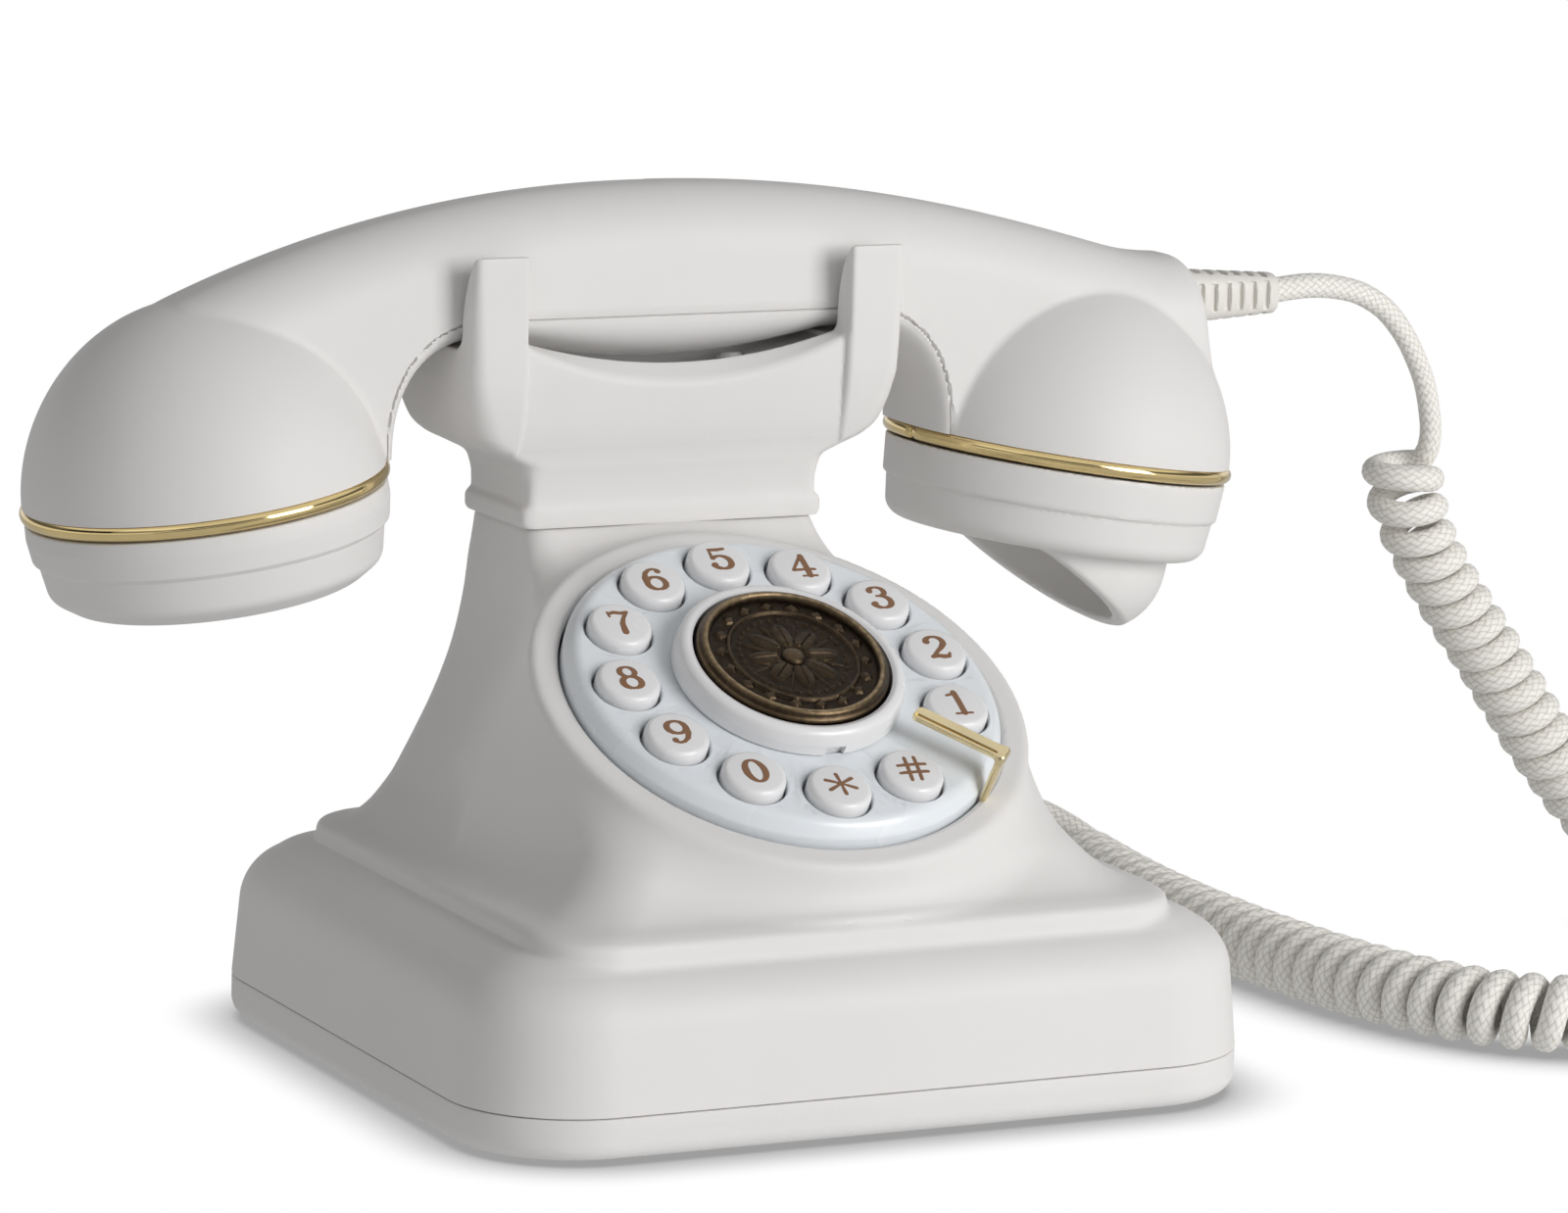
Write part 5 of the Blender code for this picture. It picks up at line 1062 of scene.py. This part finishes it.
# Along the coil's middle line: the rise of one turn, and the turns' radius.
PITCH = smooth_table([(0, 1.3), (0.8, 1.5), (1.7, 6.4), (3.2, 7.2), (8.5, 6.9), (13, 6.0), (18, 5.55),
                      (24, 5.5), (90, 5.5), (120, 5.6), (175, 5.75), (430, 5.9), (520, 6.2)])
COIL_CENTRE = smooth_table([(0, 5.6), (8, 5.1), (20, 4.5), (60, 4.65), (120, 4.75), (600, 4.75)])
TURN_STEPS, WIRE_STEP = 26, 2.2
CORD_SIDES, YARNS, YARN_PITCH = 14, 10, 1.85


def coil_points():
    """The wound wire: a left-handed helix round the coil's route, its pitch as it hangs and lies."""
    line = smooth_line(COIL_HANGS + COIL_LANDS + COIL_LIES, 0.03)
    tangent, one, two = carried_frames(line, (1, 0, 0.1))
    walked = np.concatenate(([0], np.cumsum(np.linalg.norm(np.diff(line, axis=0), axis=1))))
    turns = np.concatenate(([0], np.cumsum(np.diff(walked) / PITCH(walked[:-1])[0])))
    up_end = math.atan2(two[-1][2], one[-1][2])
    # A whole number of turns, counted from where the wire leaves the coil on top.
    spare = (-turns[-1] * 2 * math.pi - up_end) / (2 * math.pi)
    target = turns[-1] + (spare - round(spare))
    turns *= target / turns[-1]
    phase = -2 * math.pi * turns
    radius = COIL_CENTRE(walked)[0][:, None]
    wound = line + radius * (np.cos(phase)[:, None] * one + np.sin(phase)[:, None] * two)
    count = int(target * TURN_STEPS)
    at = np.linspace(0, turns[-1], count)
    return np.column_stack([np.interp(at, turns, wound[:, k]) for k in range(3)])


def cord_path():
    """The whole wire, from the handset's sleeve to the plug, in one smooth line."""
    wound = coil_points()
    upper = smooth_line(UPPER_ROUTE, WIRE_STEP)
    lower = smooth_line(LOWER_ROUTE, WIRE_STEP)
    whole = np.vstack((upper, wound[1:-2], lower[1:]))
    for first, last, turns in ((len(upper) - 2, len(upper) + 3, 2),
                               (len(upper) + len(wound) - 14, len(upper) + len(wound) + 4, 6)):
        for _ in range(turns):
            middle = whole[first:last].copy()
            beside = whole[first - 1:last - 1] + whole[first + 1:last + 1]
            whole[first:last] = 0.5 * middle + 0.25 * beside
    return whole, len(upper)


def make_cord():
    """The wire as a tube, with a coordinate along it and one round it for the yarns."""
    path, coil_start = cord_path()
    walked = np.concatenate(([0], np.cumsum(np.linalg.norm(np.diff(path, axis=0), axis=1))))
    top = walked[coil_start]
    thick = np.interp(walked, [0, 20, 45, top - 6, top + 12, walked[-1]], [2.45, 2.38, 2.1, 2.1, 2.52, 2.52])
    tangent, one, two = carried_frames(path, (0, 1, 0))
    angle = (2 * math.pi * np.arange(CORD_SIDES) / CORD_SIDES)[None, :, None]
    circle = np.cos(angle) * one[:, None, :] + np.sin(angle) * two[:, None, :]
    rings = path[:, None, :] + thick[:, None, None] * circle
    points, faces = lofted(list(rings))
    cord = put("handset_cord", points, faces, "braided_cord", None)
    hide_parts("handset_cord_upper", "handset_cord_coil", "handset_cord_lower")
    layer = cord.data.uv_layers.new(name="yarn")
    uv = np.zeros((len(cord.data.loops), 2), np.float32)
    loop = np.empty(len(cord.data.loops), np.int32)
    cord.data.loops.foreach_get("vertex_index", loop)
    ring, spot = loop // CORD_SIDES, loop % CORD_SIDES
    uv[:, 0] = walked[ring] / YARN_PITCH
    uv[:, 1] = spot / CORD_SIDES * YARNS
    start = np.empty(len(cord.data.polygons), np.int32)
    cord.data.polygons.foreach_get("loop_start", start)
    size = np.empty(len(cord.data.polygons), np.int32)
    cord.data.polygons.foreach_get("loop_total", size)
    for begin, total in zip(start, size):
        part = slice(begin, begin + total)
        if total == 4 and set(spot[part]) == {0, CORD_SIDES - 1}:
            uv[part, 1] = np.where(spot[part] == 0, YARNS, uv[part, 1])
    layer.data.foreach_set("uv", uv.ravel())
    return cord, path, float(walked[-1])


# --- studio
def make_world():
    """White behind the object, a brighter room for reflections and a dim one for fill."""
    world = bpy.data.worlds.new("studio")
    bpy.context.scene.world = world
    world.use_nodes = True
    tree = world.node_tree
    tree.nodes.clear()
    out = tree.nodes.new("ShaderNodeOutputWorld")
    rays = tree.nodes.new("ShaderNodeLightPath")
    place = tree.nodes.new("ShaderNodeTexCoord")
    parts = tree.nodes.new("ShaderNodeSeparateXYZ")
    height = tree.nodes.new("ShaderNodeMapRange")
    for socket, value in (("From Min", 0.0), ("From Max", 1.0), ("To Min", 0.37), ("To Max", 0.225)):
        height.inputs[socket].default_value = value
    tree.links.new(place.outputs["Generated"], parts.inputs[0])
    tree.links.new(parts.outputs["Z"], height.inputs["Value"])
    room = tree.nodes.new("ShaderNodeValToRGB")
    tones = ((0.0, 0.8), (0.16, 1.0), (0.27, 0.10), (0.48, 0.16), (0.60, 0.95), (1.0, 0.75))
    for k, (spot, tone) in enumerate(tones):
        stop = room.color_ramp.elements[k] if k < 2 else room.color_ramp.elements.new(spot)
        stop.position, stop.color = spot, (tone, tone, tone, 1)
    tree.links.new(parts.outputs["Z"], room.inputs["Fac"])
    shown = None
    for ray, color, strength in ((None, (0.99, 0.985, 0.985), 1.0), ("Is Glossy Ray", (1, 1, 1), 0.9),
                                 ("Is Transmission Ray", (1, 1, 1), 1.0), ("Is Camera Ray", (1, 1, 1), 1.0)):
        light = tree.nodes.new("ShaderNodeBackground")
        light.inputs["Color"].default_value = (*color, 1)
        light.inputs["Strength"].default_value = strength
        if ray == "Is Glossy Ray":
            tree.links.new(room.outputs["Color"], light.inputs["Color"])
        if ray is None:
            tree.links.new(height.outputs["Result"], light.inputs["Strength"])
            shown = light.outputs[0]
            continue
        mix = tree.nodes.new("ShaderNodeMixShader")
        tree.links.new(rays.outputs[ray], mix.inputs[0])
        tree.links.new(shown, mix.inputs[1])
        tree.links.new(light.outputs[0], mix.inputs[2])
        shown = mix.outputs[0]
    tree.links.new(shown, out.inputs[0])


def make_lamp(name, place, target, size, power, tint):
    data = bpy.data.lights.new(name, "AREA")
    data.shape = "RECTANGLE"
    data.size, data.size_y = size
    data.energy = power
    data.color = tint
    lamp = bpy.data.objects.new(name, data)
    lamp.location = place
    lamp.rotation_euler = (Vector(target) - Vector(place)).to_track_quat("-Z", "Y").to_euler()
    bpy.context.scene.collection.objects.link(lamp)


def make_floor():
    """White to the eye, with a soft shadow only where the object comes close to it."""
    mesh = bpy.data.meshes.new("floor")
    mesh.from_pydata([(-6, -6, 0), (6, -6, 0), (6, 6, 0), (-6, 6, 0)], [], [(0, 1, 2, 3)])
    look = Look("floor", (0.42, 0.42, 0.42), 0.9)
    look.mottle(3.0, (0.41, 0.41, 0.41), (0.43, 0.43, 0.43))
    look.set("Specular IOR Level", 0.0)
    look.set("Emission Color", (1, 1, 1, 1))
    look.set("Emission Strength", 0.32)
    near = look.add("ShaderNodeAmbientOcclusion", samples=16, Distance=0.014)
    tone = look.ramp(near.outputs["AO"], [(0.30, (0.34, 0.34, 0.34)), (0.62, (0.60, 0.60, 0.60)),
                                          (0.97, (1, 1, 1))])
    glow = look.add("ShaderNodeEmission", Strength=1.0)
    look.link(tone, glow.inputs["Color"])
    rays = look.add("ShaderNodeLightPath")
    choose = look.add("ShaderNodeMixShader")
    look.link(rays.outputs["Is Camera Ray"], choose.inputs[0])
    look.link(look.shader.outputs[0], choose.inputs[1])
    look.link(glow.outputs[0], choose.inputs[2])
    look.link(choose.outputs[0], look.tree.nodes["Material Output"].inputs["Surface"])
    mesh.materials.append(look.material)
    floor = bpy.data.objects.new("floor", mesh)
    bpy.context.scene.collection.objects.link(floor)


def make_card(name, corners):
    """A dark board that only reflections see."""
    mesh = bpy.data.meshes.new(name)
    mesh.from_pydata(corners, [], [(0, 1, 2, 3)])
    mesh.materials.append(CARD.material)
    card = bpy.data.objects.new(name, mesh)
    bpy.context.scene.collection.objects.link(card)
    for kind in ("camera", "diffuse", "transmission", "volume_scatter", "shadow"):
        setattr(card, "visible_" + kind, False)


CARD = plastic("card_black", (0.02, 0.018, 0.015), 0.9, 100.0)


def make_studio():
    make_world()
    make_lamp("key_light", (0.76, -1.42, 0.57), (0, 0, 0.08), (0.9, 0.9), 18.8, (1.0, 0.99, 0.98))
    make_lamp("left_light", (-1.30, -0.50, 0.98), (0, 0, 0.10), (1.1, 1.1), 1.0, (0.98, 0.99, 1.0))
    make_floor()
    make_card("low_card", [(-2.6, -1.7, 0.02), (0.9, -1.7, 0.02), (0.9, -1.7, 0.30), (-2.6, -1.7, 0.30)])
    make_card("side_card", [(-2.0, -1.4, 0.7), (-2.0, 1.4, 0.7), (-2.0, 1.4, 1.5), (-2.0, -1.4, 1.5)])
    bpy.context.scene.view_settings.view_transform = "Standard"


# --- the telephone
cord, cord_line, cord_length = make_cord()
make_body()
make_bottom_cover()
make_cradle()
make_shell("handset_cover", "handset_upper_shell", upper_field, (-120.5, 6.6, 91.5), (120.0, 74.0, 155.2), 0.8)
make_shell("handset_belly", "handset_lower_shell", lower_field, (-58.0, 26.0, 101.0), (58.0, 54.6, 132.0), 0.6)
make_ring("ear_band", -1, ["ear_ring"])
make_ring("mouth_band", 1, ["mouth_ring"], split=math.radians(185))
make_ear_cap()
make_mouth_cap()
make_dial()
make_centre_ring()
make_redial()
make_keys()
make_stop()
make_relief()
make_studio()
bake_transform(cord)
